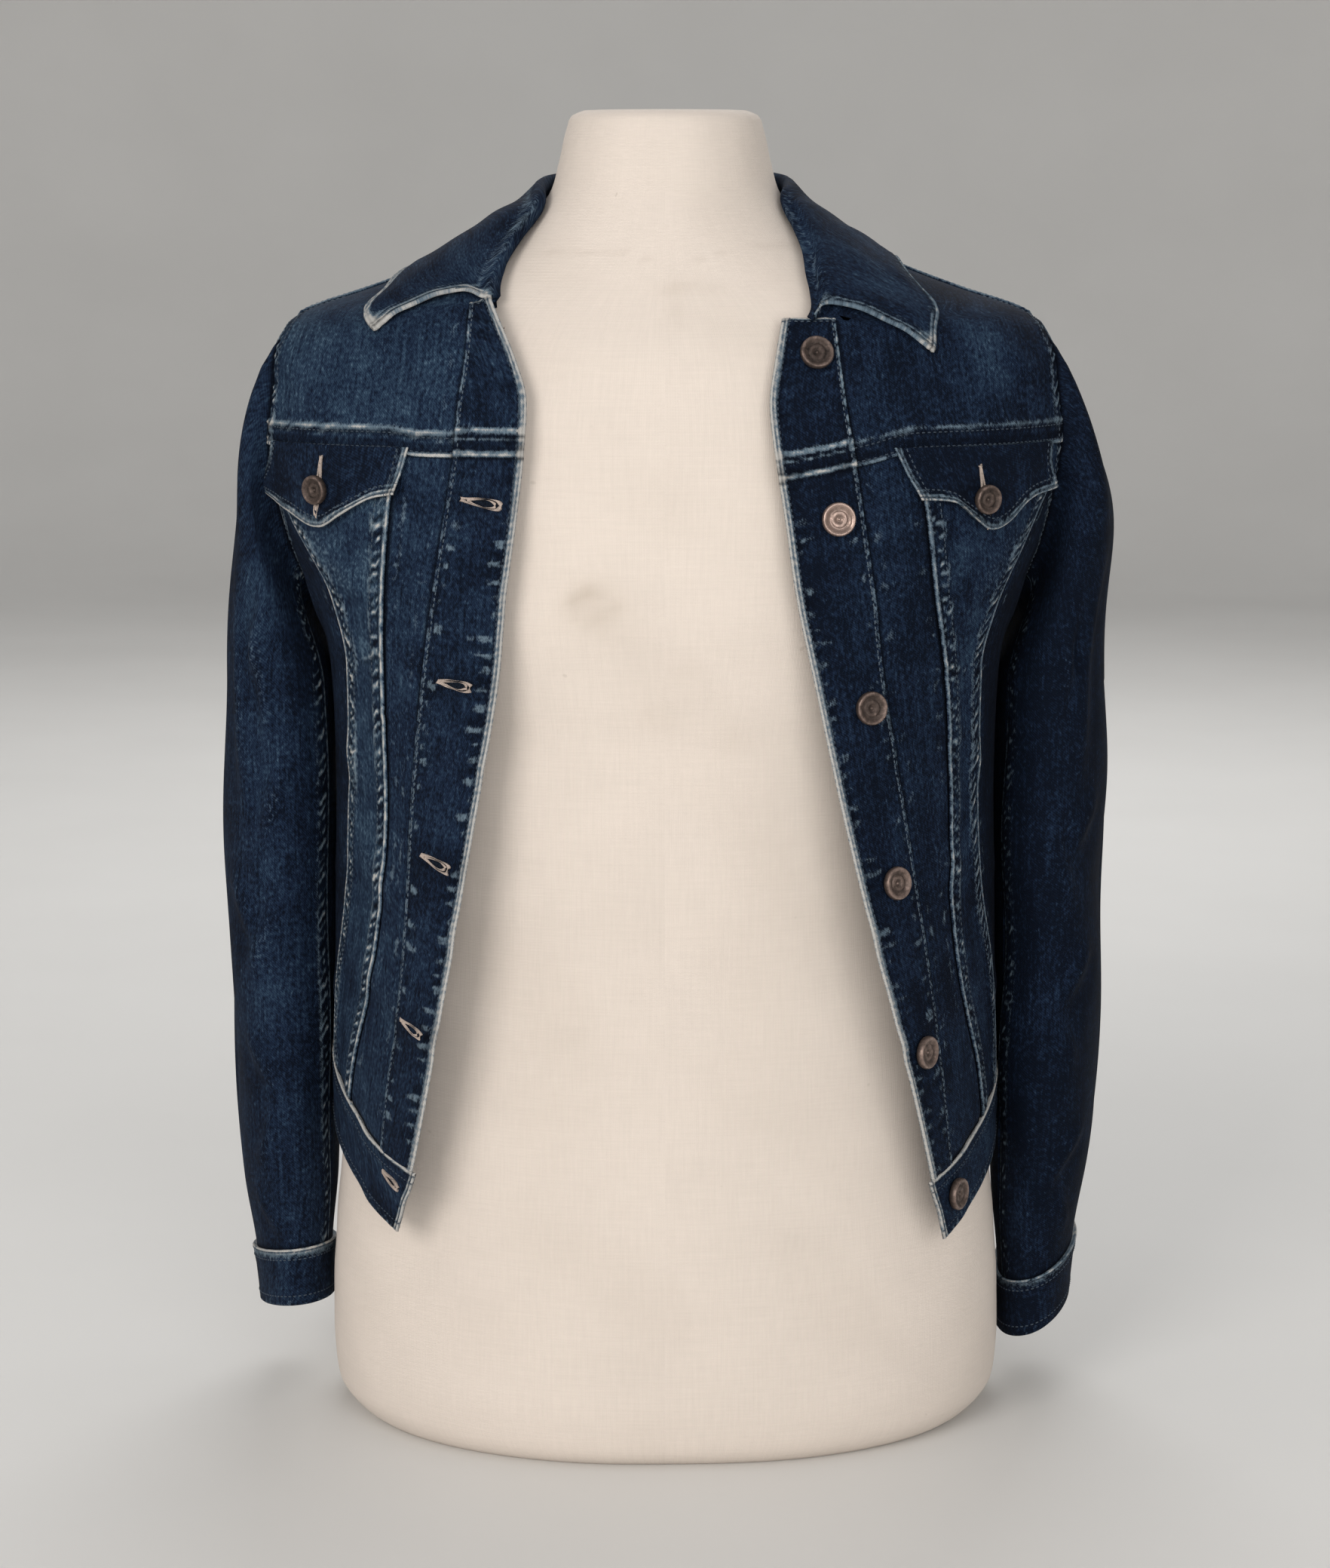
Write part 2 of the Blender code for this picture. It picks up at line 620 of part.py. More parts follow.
def armhole_loop(around):
    """Turn and height of the armhole at an angle round it: 0 is the shoulder, 90 degrees the front."""
    height = ARMHOLE_MIDDLE + (ARMHOLE_HALF_HEIGHT + SLEEVE_LAP) * np.cos(around)
    middle = ARMHOLE_DRIFT * (1 - ((1 + np.cos(around)) / 2) ** 2)
    return turn_at_depth((ARMHOLE_HALF_DEPTH + SLEEVE_LAP) * np.sin(around) - middle, height), height


def sleeve_section(around, height):
    """Point of a level oval of the left sleeve; the angle 0 is its outer side, 90 degrees its front."""
    out = read(SLEEVE, "half_width", height) * np.cos(around)
    ahead = read(SLEEVE, "half_depth", height) * np.sin(around)
    turn = np.radians(read(SLEEVE, "turn", height))
    x = read(SLEEVE, "out", height) + out * np.cos(turn) - ahead * np.sin(turn)
    y = read(SLEEVE, "back_of_middle", height) - out * np.sin(turn) - ahead * np.cos(turn)
    return np.stack(np.broadcast_arrays(x, y, height), -1)


def sleeve_points(around, side):
    """Grid of one sleeve piece, from the armhole over the sleeve head and down to the cuff."""
    turn, height = armhole_loop(around)
    start = raised(turn, height, np.full(around.shape, DENIM_WALL + SLEEVE_GAP))
    away = outward(JACKET, turn, height)
    end = sleeve_section(around, np.full(around.shape, SLEEVE_HEAD_END))
    drop = (start[:, 2] - SLEEVE_HEAD_END)[:, None]
    leave = away * (HEAD_PUFF + HEAD_PUFF_BY_DROP * drop)
    arrive = np.array([0.0, 0.0, -HEAD_FALL_BY_DROP]) * drop
    rows = []
    for t in even(HEAD_ROWS):
        blend = (2 * t ** 3 - 3 * t ** 2 + 1) * start + (-2 * t ** 3 + 3 * t ** 2) * end
        rows.append(blend + (t ** 3 - 2 * t ** 2 + t) * leave + (t ** 3 - t ** 2) * arrive)
    cuff_top = CUFF_HEM[side] + CUFF_DEPTH + SEAM_GAP
    for share in even(ARM_ROWS)[1:]:
        level_height = SLEEVE_HEAD_END + (cuff_top - SLEEVE_HEAD_END) * share
        row = sleeve_section(around, np.full(around.shape, level_height))
        row[:, 2] += CUFF_TILT[side] * share ** 2 * (row[:, 1] - SLEEVE["back_of_middle"][0])
        rows.append(row)
    return np.stack(rows)[::-1]


def make_sleeve(side):
    """Upper and under sleeve, and the cuff with its slit at the back."""
    half_gap = math.radians(SLEEVE_SEAM_GAP) / 2
    spans = (
        ("sleeve_under", SLEEVE_FRONT_SEAM, SLEEVE_BACK_SEAM, 9),
        ("sleeve_upper", SLEEVE_BACK_SEAM, SLEEVE_FRONT_SEAM + 2 * math.pi, 16),
    )
    for name, first, last, columns in spans:
        around = np.linspace(last - half_gap, first + half_gap, columns + 1)
        points = mirror_if_right(sleeve_points(around, side), side)
        finish_sheet(f"{name}_{side}", points, DENIM_WALL, INDIGO)
    around = np.linspace(CUFF_SLIT + 2 * math.pi - half_gap, CUFF_SLIT + half_gap, 21)
    rows = []
    for share in (0.0, 0.5, 1.0):
        height = CUFF_HEM[side] + CUFF_DEPTH * share
        row = sleeve_section(around, np.full(around.shape, height))
        row[:, 2] += CUFF_TILT[side] * (row[:, 1] - SLEEVE["back_of_middle"][0])
        rows.append(row)
    finish_sheet(f"cuff_{side}", mirror_if_right(np.stack(rows), side), BAND_WALL, INDIGO)


def make_button(name, diameter, side, out, height, lift):
    """A dished metal button: its turned profile stands on the cloth, square to it."""
    turn = turn_at_width(out, height)
    seat = raised(turn, height, lift)
    normal = outward(JACKET, turn, height)
    mirror = np.array([SIGN[side], 1.0, 1.0])
    mesh = bpy.data.meshes.new(name)
    points = [
        (share * diameter / 2, 0.0, up * BUTTON_THICKNESS)
        for share, up in zip(BUTTON_PROFILE["out"][::-1], BUTTON_PROFILE["up"][::-1])
    ]
    mesh.from_pydata(points, [(i, i + 1) for i in range(len(points) - 1)], [])
    button = add_object(name, mesh, COPPER, 0.4, 0.9)
    spin = button.modifiers.new("Turned", "SCREW")
    spin.steps = BUTTON_SIDES
    spin.render_steps = BUTTON_SIDES
    spin.use_merge_vertices = True
    spin.merge_threshold = 0.00002
    spin.use_normal_calculate = True
    button.location = seat * mirror
    direction = normal * mirror
    button.rotation_euler = (math.acos(direction[2]), 0.0, math.atan2(direction[1], direction[0]) + QUARTER)


def make_buttons():
    """Six front buttons on the wearer's left and one on each flap."""
    rows = zip(BUTTONS["out"], BUTTONS["height"])
    for number, (out, height) in enumerate(rows, start=1):
        wall = BAND_WALL if number == len(BUTTONS["out"]) else PLACKET_WALL
        make_button(f"button_{number}", BUTTON_DIAMETER, "left", out, height, wall + LAY_GAP)
    for side, flap in FLAPS.items():
        lift = DENIM_WALL + FLAP_WALL + 2 * LAY_GAP
        make_button(f"flap_button_{side}", FLAP_BUTTON_DIAMETER, side, *flap["button"], lift)


for old in list(bpy.data.objects):
    bpy.data.objects.remove(old, do_unlink=True)
JACKET_PARTS = bpy.data.collections.new("denim_jacket_on_dress_form")
bpy.context.scene.collection.children.link(JACKET_PARTS)
BASE = bpy.data.objects.new("base_of_form", None)
JACKET_PARTS.objects.link(BASE)
make_form()
make_back()
make_waistband()
make_collar()
for SIDE_NAME in SIGN:
    make_front_panels(SIDE_NAME)
    make_placket(SIDE_NAME)
    make_front_yoke(SIDE_NAME)
    make_flap(SIDE_NAME)
    make_sleeve(SIDE_NAME)
make_buttons()
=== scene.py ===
"""Looks of a fitted denim jacket that hangs open on a linen dress form.

Metres, +Z up; the front faces -Y, so the wearer's left is +X.  Each cloth piece is a surface of two
parameters: it follows the rounded-box sections of the jacket, and its seams, puckers, creases and wear
are functions of the distance to its own edges, measured on the cloth.
"""
import math

import bmesh
import bpy
import numpy as np
from bpy.props import FloatProperty, FloatVectorProperty, PointerProperty
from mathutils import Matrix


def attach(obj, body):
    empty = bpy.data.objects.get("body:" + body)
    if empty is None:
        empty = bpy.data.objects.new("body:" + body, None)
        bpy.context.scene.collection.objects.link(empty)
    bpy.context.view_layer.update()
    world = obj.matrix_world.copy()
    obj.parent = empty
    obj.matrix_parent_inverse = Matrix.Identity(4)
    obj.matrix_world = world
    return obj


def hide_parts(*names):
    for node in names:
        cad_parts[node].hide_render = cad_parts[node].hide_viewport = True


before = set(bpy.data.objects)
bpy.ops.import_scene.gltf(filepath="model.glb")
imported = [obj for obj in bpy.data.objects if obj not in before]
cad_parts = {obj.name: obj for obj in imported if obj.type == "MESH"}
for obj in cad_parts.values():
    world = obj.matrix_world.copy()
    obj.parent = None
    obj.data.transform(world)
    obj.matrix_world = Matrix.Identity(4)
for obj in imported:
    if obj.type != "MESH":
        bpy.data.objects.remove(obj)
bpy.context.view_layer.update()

bl_info = {
    "name": "Denim Jacket on a Dress Form",
    "version": (1, 0, 0),
    "blender": (4, 5, 0),
    "location": "3D View > Sidebar > Jacket",
    "description": "Builds an open denim jacket, its seams and its buttons, on a linen dress form",
    "category": "Add Mesh",
}

TURN = 2 * math.pi
QUARTER = math.pi / 2
SIGN = {"right": -1.0, "left": 1.0}

DENIM_WALL = 0.0016
PLACKET_WALL = 0.0026
BAND_WALL = 0.0024
FLAP_WALL = 0.0020
LAY_GAP = 0.0005
TUCK = 0.0035
YOKE_SEAM = 0.535
YOKE_BAND = 0.0126
SIDE_PANEL_TOP = 0.510
NECKLINE = 0.652
WAISTBAND_DEPTH = 0.038
CUFF_DEPTH = 0.033
BUTTON_DIAMETER = 0.017
FLAP_BUTTON_DIAMETER = 0.015
ARMHOLE_MIDDLE = 0.519
ARMHOLE_HALF_HEIGHT = 0.075
ARMHOLE_HALF_DEPTH = 0.0585
ARMHOLE_DRIFT = 0.034
SHOULDER_POINT = ARMHOLE_MIDDLE + ARMHOLE_HALF_HEIGHT
UNDERARM_POINT = ARMHOLE_MIDDLE - ARMHOLE_HALF_HEIGHT
SIDE_SEAM = math.radians(96)
NEAR_ROW = 0.0022
FAR_ROW = 0.0085


# ---------------------------------------------------------------------------------------------
# Tables and curves


def table(columns, *rows):
    """A short table: one array for each named column."""
    values = np.array(rows, float)
    return {name: values[:, index] for index, name in enumerate(columns.split())}


def read(source, column, at, key="height"):
    """Value of a column where the key column reads `at`, on a smooth curve that never overshoots."""
    knots, values = source[key], source[column]
    steps = np.diff(knots)
    slopes = np.diff(values) / steps
    tangents = np.concatenate([slopes[:1], (slopes[:-1] + slopes[1:]) / 2, slopes[-1:]])
    limit = 3 * np.minimum(abs(slopes[:-1]), abs(slopes[1:]))
    tangents[1:-1] = np.clip(tangents[1:-1], -limit, limit)
    tangents[1:-1][slopes[:-1] * slopes[1:] <= 0] = 0
    at = np.clip(np.asarray(at, float), knots[0], knots[-1])
    index = np.clip(np.searchsorted(knots, at, side="right") - 1, 0, len(knots) - 2)
    t = (at - knots[index]) / steps[index]
    start = values[index] * (1 + 2 * t) * (1 - t) ** 2
    end = values[index + 1] * t * t * (3 - 2 * t)
    bend = tangents[index] * t * (1 - t) ** 2 + tangents[index + 1] * t * t * (t - 1)
    return start + end + steps[index] * bend


FORM = table(
    "height half_width front back square front_square",
    (0.000, 0.166, 0.105, 0.104, 2.20, 2.20),
    (0.005, 0.172, 0.112, 0.110, 2.20, 2.20),
    (0.018, 0.1815, 0.117, 0.114, 2.20, 2.20),
    (0.040, 0.1830, 0.118, 0.116, 2.20, 2.20),
    (0.095, 0.1815, 0.116, 0.115, 2.20, 2.20),
    (0.150, 0.1765, 0.112, 0.112, 2.20, 2.20),
    (0.200, 0.1745, 0.110, 0.110, 2.20, 2.20),
    (0.290, 0.169, 0.106, 0.104, 2.20, 2.20),
    (0.380, 0.167, 0.107, 0.101, 2.20, 2.20),
    (0.450, 0.173, 0.112, 0.103, 2.30, 2.30),
    (0.530, 0.184, 0.106, 0.106, 2.30, 2.30),
    (0.568, 0.1855, 0.096, 0.103, 2.20, 2.20),
    (0.585, 0.1810, 0.0895, 0.098, 2.15, 2.15),
    (0.5955, 0.1700, 0.0835, 0.093, 2.10, 2.10),
    (0.6055, 0.1500, 0.0775, 0.086, 2.05, 2.05),
    (0.6170, 0.1200, 0.0715, 0.079, 2.00, 2.00),
    (0.6305, 0.0920, 0.0660, 0.072, 2.00, 2.00),
    (0.6435, 0.0725, 0.0615, 0.0655, 2.00, 2.00),
    (0.6570, 0.0605, 0.0570, 0.0590, 2.00, 2.00),
    (0.6740, 0.0550, 0.0535, 0.0550, 2.00, 2.00),
    (0.6920, 0.0505, 0.0500, 0.0505, 2.00, 2.00),
    (0.6980, 0.0475, 0.0470, 0.0475, 2.00, 2.00),
    (0.7000, 0.0420, 0.0415, 0.0420, 2.00, 2.00),
)
JACKET = table(
    "height half_width front back square front_square",
    (0.080, 0.1795, 0.205, 0.120, 2.30, 1.60),
    (0.175, 0.1795, 0.200, 0.119, 2.30, 1.62),
    (0.240, 0.1780, 0.188, 0.118, 2.30, 1.65),
    (0.300, 0.1765, 0.165, 0.117, 2.30, 1.75),
    (0.355, 0.1750, 0.146, 0.116, 2.30, 1.90),
    (0.415, 0.1765, 0.129, 0.117, 2.30, 2.20),
    (0.450, 0.1850, 0.122, 0.118, 2.40, 2.40),
    (0.487, 0.1970, 0.119, 0.119, 2.50, 2.50),
    (0.536, 0.2075, 0.111, 0.117, 2.50, 2.50),
    (0.568, 0.2080, 0.101, 0.111, 2.30, 2.30),
    (0.585, 0.2010, 0.094, 0.105, 2.20, 2.20),
    (0.597, 0.1855, 0.0875, 0.098, 2.10, 2.10),
    (0.6075, 0.1540, 0.0805, 0.090, 2.05, 2.05),
    (0.6190, 0.1230, 0.0745, 0.083, 2.00, 2.00),
    (0.6325, 0.0945, 0.0690, 0.0755, 2.00, 2.00),
    (0.6455, 0.0745, 0.0645, 0.0685, 2.00, 2.00),
    (0.6590, 0.0625, 0.0600, 0.0620, 2.00, 2.00),
    (0.6760, 0.0575, 0.0560, 0.0575, 2.00, 2.00),
    (0.6950, 0.0560, 0.0550, 0.0560, 2.00, 2.00),
)
FRONTS = {
    "right": table(
        "height edge placket centre side stand",
        (0.120, 0.1390, 0.1500, 0.1700, 0.1770, 0.000),
        (0.166, 0.1280, 0.1465, 0.1680, 0.1768, 0.000),
        (0.205, 0.1200, 0.1420, 0.1630, 0.1765, 0.000),
        (0.240, 0.1135, 0.1365, 0.1550, 0.1745, 0.000),
        (0.290, 0.1045, 0.1315, 0.1460, 0.1670, 0.000),
        (0.355, 0.0930, 0.1275, 0.1410, 0.1630, 0.000),
        (0.420, 0.0820, 0.1210, 0.1420, 0.1620, 0.000),
        (0.460, 0.0785, 0.1155, 0.1410, 0.1710, 0.000),
        (0.500, 0.0730, 0.1090, 0.1375, 0.1930, 0.000),
        (0.535, 0.0690, 0.1035, 0.1340, 0.2050, 0.000),
        (0.556, 0.0680, 0.1020, 0.1340, 0.2050, 0.001),
        (0.575, 0.0730, 0.0990, 0.1340, 0.2050, 0.002),
        (0.604, 0.0870, 0.0970, 0.1340, 0.2050, 0.005),
    ),
    "left": table(
        "height edge placket centre side stand",
        (0.115, 0.1450, 0.1540, 0.1720, 0.1770, 0.000),
        (0.160, 0.1360, 0.1480, 0.1690, 0.1768, 0.000),
        (0.203, 0.1260, 0.1430, 0.1640, 0.1765, 0.000),
        (0.250, 0.1140, 0.1365, 0.1530, 0.1730, 0.000),
        (0.303, 0.1000, 0.1280, 0.1460, 0.1640, 0.000),
        (0.357, 0.0870, 0.1190, 0.1450, 0.1610, 0.000),
        (0.420, 0.0735, 0.1085, 0.1410, 0.1610, 0.000),
        (0.460, 0.0650, 0.1040, 0.1350, 0.1720, 0.000),
        (0.500, 0.0590, 0.0980, 0.1300, 0.1900, 0.000),
        (0.535, 0.0535, 0.0925, 0.1250, 0.2050, 0.000),
        (0.556, 0.0515, 0.0890, 0.1250, 0.2050, 0.000),
        (0.575, 0.0540, 0.0865, 0.1250, 0.2050, 0.000),
        (0.597, 0.0580, 0.0840, 0.1250, 0.2050, 0.000),
    ),
}
# The yoke's lower seam dips a little towards the front edge.
YOKE_LINES = {
    "right": table(
        "out height", (0.060, 0.5305), (0.122, 0.5308), (0.137, 0.5330), (0.210, 0.5322)
    ),
    "left": table(
        "out height", (0.050, 0.5180), (0.075, 0.5220), (0.103, 0.5280), (0.125, 0.5330), (0.210, 0.5335)
    ),
}
PLACKET_TOP = {"right": 0.6035, "left": 0.5965}
HEM = {
    "right": {"side": 0.169, "corner": 0.127, "jog": 0.0015},
    "left": {"side": 0.157, "corner": 0.117, "jog": 0.0008},
}
HEM_FALLS_FROM = math.radians(100)
HEM_FALLS_TO = math.radians(44)
HEM_JOG_AT = math.radians(64)
BACK_HEM = 0.166
BACK_SEAM = table(
    "height out",
    (0.100, 0.112),
    (0.200, 0.105),
    (0.290, 0.095),
    (0.360, 0.093),
    (0.450, 0.108),
    (0.535, 0.124),
)
COLLARS = {
    "right": table(
        "station seam seam_height fold fold_height edge edge_height spring arch",
        (0.00, 30.0, 0.6012, 30.6, 0.6045, 45.5, 0.5893, 0.0010, 0.0108),
        (0.10, 41, 0.6150, 43, 0.6205, 51.5, 0.5955, 0.0020, 0.0045),
        (0.22, 56, 0.6310, 57, 0.6390, 62, 0.6060, 0.0040, 0.0),
        (0.36, 74, 0.6460, 68, 0.6540, 80, 0.6140, 0.0050, 0.0),
        (0.46, 92, 0.6550, 88, 0.6610, 94, 0.6170, 0.0045, 0.0),
        (0.70, 130, 0.6550, 130, 0.6665, 130, 0.6130, 0.0030, 0.0),
        (1.00, 180, 0.6550, 180, 0.6690, 180, 0.6100, 0.0030, 0.0),
    ),
    "left": table(
        "station seam seam_height fold fold_height edge edge_height spring arch",
        (0.00, 20.2, 0.5920, 21.2, 0.5950, 38, 0.5800, 0.0010, 0.0108),
        (0.10, 36, 0.6125, 34, 0.6165, 43.5, 0.5940, 0.0015, 0.0045),
        (0.22, 55, 0.6310, 53, 0.6400, 62, 0.6130, 0.0020, 0.0),
        (0.36, 74, 0.6460, 67, 0.6560, 84, 0.6210, 0.0030, 0.0),
        (0.46, 92, 0.6550, 88, 0.6620, 95, 0.6215, 0.0030, 0.0),
        (0.70, 130, 0.6550, 130, 0.6670, 130, 0.6150, 0.0030, 0.0),
        (1.00, 180, 0.6550, 180, 0.6690, 180, 0.6100, 0.0030, 0.0),
    ),
}
COLLAR_WALL = 0.0022
STAND_BELOW_FOLD = 0.0015
CREST_ABOVE_FOLD = 0.0012
LEAF_BELOW_FOLD = 0.0008
LEAF_FALL = 0.92
ARCH_DRIFT = 4.0
LEAF_FOLD_LIFT = 0.0052
LEAF_EDGE_LIFT = 0.0046

SLEEVE = table(
    "height out back_of_middle half_width half_depth turn",
    (0.030, 0.2070, 0.026, 0.0180, 0.0445, 10),
    (0.080, 0.2085, 0.026, 0.0212, 0.0475, 10),
    (0.120, 0.2092, 0.026, 0.0262, 0.0515, 9),
    (0.200, 0.2103, 0.026, 0.0300, 0.0560, 6),
    (0.300, 0.2095, 0.026, 0.0308, 0.0600, 5),
    (0.400, 0.2078, 0.027, 0.0302, 0.0620, 4),
)
SLEEVE_HEAD_END = 0.400
SLEEVE_TUCK = 0.0030
HEAD_PUFF = 0.030
HEAD_PUFF_BY_DROP = 0.25
HEAD_FALL_BY_DROP = 1.3
HEAD_FULLNESS = {"right": 0.0, "left": 0.014}
HEAD_FULLEST_AT = 0.500
CUFF_HEM = {"right": 0.047, "left": 0.043}
# How a cuff leans: metres of rise for each metre forward, and for each metre out.
CUFF_LEAN = {"right": (-0.20, -0.14), "left": (0.0, 0.38)}
SLEEVE_FRONT_SEAM = math.radians(138)
SLEEVE_BACK_SEAM = math.radians(262)
CUFF_SLIT = math.radians(250)

BUTTONS = table(
    "out height",
    (0.0745, 0.5790),
    (0.0850, 0.5000),
    (0.1010, 0.4055),
    (0.1140, 0.3160),
    (0.1300, 0.2270),
    (0.1495, 0.1440),
)
# Each buttonhole by its middle and length, how far it gapes, and how far it droops to the front edge.
BUTTONHOLES = table(
    "out height length gape droop",
    (0.0830, 0.5900, 0.0070, 0.0010, -0.10),
    (0.0900, 0.5080, 0.0205, 0.0034, 0.16),
    (0.1040, 0.4170, 0.0200, 0.0033, 0.12),
    (0.1140, 0.3260, 0.0195, 0.0033, 0.28),
    (0.1270, 0.2400, 0.0180, 0.0029, 0.30),
    (0.1400, 0.1560, 0.0160, 0.0025, 0.34),
)
# Flaps from the inner end to the outer one: the side ends lean, and the lower edge comes to a point.
FLAPS = {
    "right": {
        "top": (0.1260, 0.1985),
        "low": (0.1325, 0.2030),
        "button": (0.1720, 0.5120),
        "outline": table(
            "across bottom",
            (0.00, 0.5110),
            (0.17, 0.5085),
            (0.37, 0.4995),
            (0.53, 0.4930),
            (0.56, 0.4930),
            (0.75, 0.4990),
            (0.86, 0.5030),
            (1.00, 0.5100),
        ),
    },
    "left": {
        "top": (0.1125, 0.1950),
        "low": (0.1240, 0.1930),
        "button": (0.1580, 0.5080),
        "outline": table(
            "across bottom",
            (0.00, 0.5085),
            (0.24, 0.5070),
            (0.38, 0.4985),
            (0.52, 0.4925),
            (0.57, 0.4928),
            (0.66, 0.4960),
            (0.80, 0.5050),
            (1.00, 0.5120),
        ),
    },
}
FLAP_TOP = 0.5340


# ---------------------------------------------------------------------------------------------
# The form of the jacket


def smooth(value, low, high):
    """0 below `low`, 1 above `high`, with an S curve between."""
    t = np.clip((value - low) / (high - low), 0, 1)
    return t * t * (3 - 2 * t)


def bell(value, middle, width):
    """A bell curve: 1 at the middle and about a third at one width from it."""
    return np.exp(-(((value - middle) / width) ** 2))


def section(rings, turn, height):
    """Point of a level section: x = a sin^p, y = -b cos^p with a, b and p read at that height."""
    turn, height = np.broadcast_arrays(np.asarray(turn, float), np.asarray(height, float))
    sine, cosine = np.sin(turn), np.cos(turn)
    ahead = cosine > 0
    reach = np.where(ahead, read(rings, "front", height), read(rings, "back", height))
    power = 2 / np.where(ahead, read(rings, "front_square", height), read(rings, "square", height))
    x = read(rings, "half_width", height) * np.sign(sine) * abs(sine) ** power
    y = -reach * np.sign(cosine) * abs(cosine) ** power
    return np.stack([x, y, height], -1)


def outward(rings, turn, height):
    """Unit normal: the cross product of small steps round the section and up it."""
    around = section(rings, turn + 0.02, height) - section(rings, turn - 0.02, height)
    upward = section(rings, turn, height + 0.0015) - section(rings, turn, height - 0.0015)
    normal = np.cross(around, upward)
    return normal / np.linalg.norm(normal, axis=-1, keepdims=True)


def raised(turn, height, lift):
    """Point of the jacket's inner face, moved out by `lift`."""
    lift = np.asarray(lift, float)[..., None]
    return section(JACKET, turn, height) + lift * outward(JACKET, turn, height)


def turn_at_width(out, height):
    """Turn at which the front of the jacket lies `out` from the middle."""
    share = np.clip(np.asarray(out) / read(JACKET, "half_width", height), 0, 1)
    return np.arcsin(share ** (read(JACKET, "front_square", height) / 2))


def turn_at_depth(forward, height):
    """Turn at which the jacket lies `forward` of the middle, or behind it where negative."""
    ahead = forward > 0
    reach = np.where(ahead, read(JACKET, "front", height), read(JACKET, "back", height))
    square = np.where(ahead, read(JACKET, "front_square", height), read(JACKET, "square", height))
    lean = np.arcsin(np.clip(abs(forward) / reach, 0, 1) ** (square / 2))
    return QUARTER - np.sign(forward) * lean


def front_seam(side, column):
    """Turn of one seam of a front, as a function of height."""
    return lambda height: turn_at_width(read(FRONTS[side], column, height), height)


def yoke_seam(side):
    """Height of the yoke's lower seam on a front, as a function of the turn."""

    def height(turn):
        out = abs(section(JACKET, turn, YOKE_SEAM)[..., 0])
        return read(YOKE_LINES[side], "height", out, "out")

    return height


def back_seam(height):
    """Turn of the seam that runs down each side of the back."""
    share = read(BACK_SEAM, "out", height) / read(JACKET, "half_width", height)
    return math.pi - np.arcsin(share ** (read(JACKET, "square", height) / 2))


def armhole(height, forward):
    """Turn of the armhole's front or back edge, an oval that closes at the shoulder and under the arm."""
    rise = np.clip((height - ARMHOLE_MIDDLE) / ARMHOLE_HALF_HEIGHT, -1, 1)
    sine = np.sqrt(1 - rise**2)
    middle = ARMHOLE_DRIFT * (1 - ((1 + rise) / 2) ** 2)
    return turn_at_depth(forward * ARMHOLE_HALF_DEPTH * sine - middle, height)


def hem(turn, side):
    """Height of the hem: level at the back, falling towards the open fronts, with a jog at one seam."""
    share = np.clip((HEM_FALLS_FROM - turn) / (HEM_FALLS_FROM - HEM_FALLS_TO), 0, 1)
    fall = share * share * (3 - 2 * share)
    round_back = np.clip((turn - HEM_FALLS_FROM) / (math.pi - HEM_FALLS_FROM), 0, 1)
    side_height = HEM[side]["side"] + (BACK_HEM - HEM[side]["side"]) * round_back
    jog = HEM[side]["jog"] * np.tanh((turn - HEM_JOG_AT) / 0.020) * bell(turn, HEM_JOG_AT, 0.22)
    return side_height + (HEM[side]["corner"] - HEM[side]["side"]) * fall + jog


def above_waistband(side):
    """Bottom edge of the panels that are sewn to the waistband."""
    return lambda turn: hem(turn, side) + WAISTBAND_DEPTH


def level(height):
    """An edge at one height."""
    return lambda turn: height + 0 * turn


def steps(length, fine=0.0007, coarse=0.004, growth=1.23):
    """Shares from 0 to 1 whose steps start fine at both ends and grow to a coarse one."""
    sizes = [0.0]
    while sum(sizes) < length / 2:
        sizes.append(min(fine * growth ** (len(sizes) - 1), coarse))
    half = np.cumsum(sizes)
    half *= 0.5 / half[-1]
    return np.concatenate([half, 1 - half[-2::-1]])


def patch(start, end, bottom, top, across, up, pads=(0, 0, 0, 0)):
    """Turns and heights of a grid between two seams that depend on height and two that depend on turn.

    `pads` are the metres by which the cloth runs on past each of the four edges.
    """
    v, u = up[:, None], across[None, :]
    height = YOKE_SEAM + 0 * u + 0 * v
    for _ in range(14):
        radius = read(JACKET, "half_width", height)
        first, last = start(height) - pads[0] / radius, end(height) + pads[1] / radius
        turn = first * (1 - u) + last * u
        height = (bottom(turn) - pads[2]) * (1 - v) + (top(turn) + pads[3]) * v
    return turn, height


# ---------------------------------------------------------------------------------------------
# Cloth: distances, seams, creases and wear

# Each line of a seam is its distance from the edge, its width, and its strength: pale where rubbed above 0, and painted
# shade in a groove below it.  `between` are the stitch rows that the cloth ropes between, and `slant` turns the
# puckers.
FELLED = {
    "step": 0.0011,
    "between": (0.0034, 0.0080),
    "slant": 0.9,
    "rope": 1.0,
    "lines": (
        (0.0013, 0.0010, 1.00),
        (0.0031, 0.0006, -0.65),
        (0.0084, 0.0005, -0.45),
        (0.0097, 0.0010, 0.50),
    ),
}
FELLED_BOLD = {**FELLED, "rope": 1.30}
FELLED_LIGHT = {
    **FELLED,
    "rope": 0.90,
    "lines": ((0.0010, 0.0009, 0.72), (0.0030, 0.0006, -0.60), (0.0084, 0.0005, -0.35), (0.0094, 0.0009, 0.45)),
}
YOKE_FOLD = {
    "step": 0.0013,
    "between": (0.0092, 0.0112),
    "slant": 0.4,
    "rope": 0.50,
    "lines": (
        (0.0010, 0.0012, 1.15),
        (0.0029, 0.0007, -0.75),
        (0.0053, 0.0021, -0.50),
        (0.0083, 0.0007, 0.50),
        (0.0096, 0.0006, -0.75),
        (0.0121, 0.0015, 0.78),
    ),
}
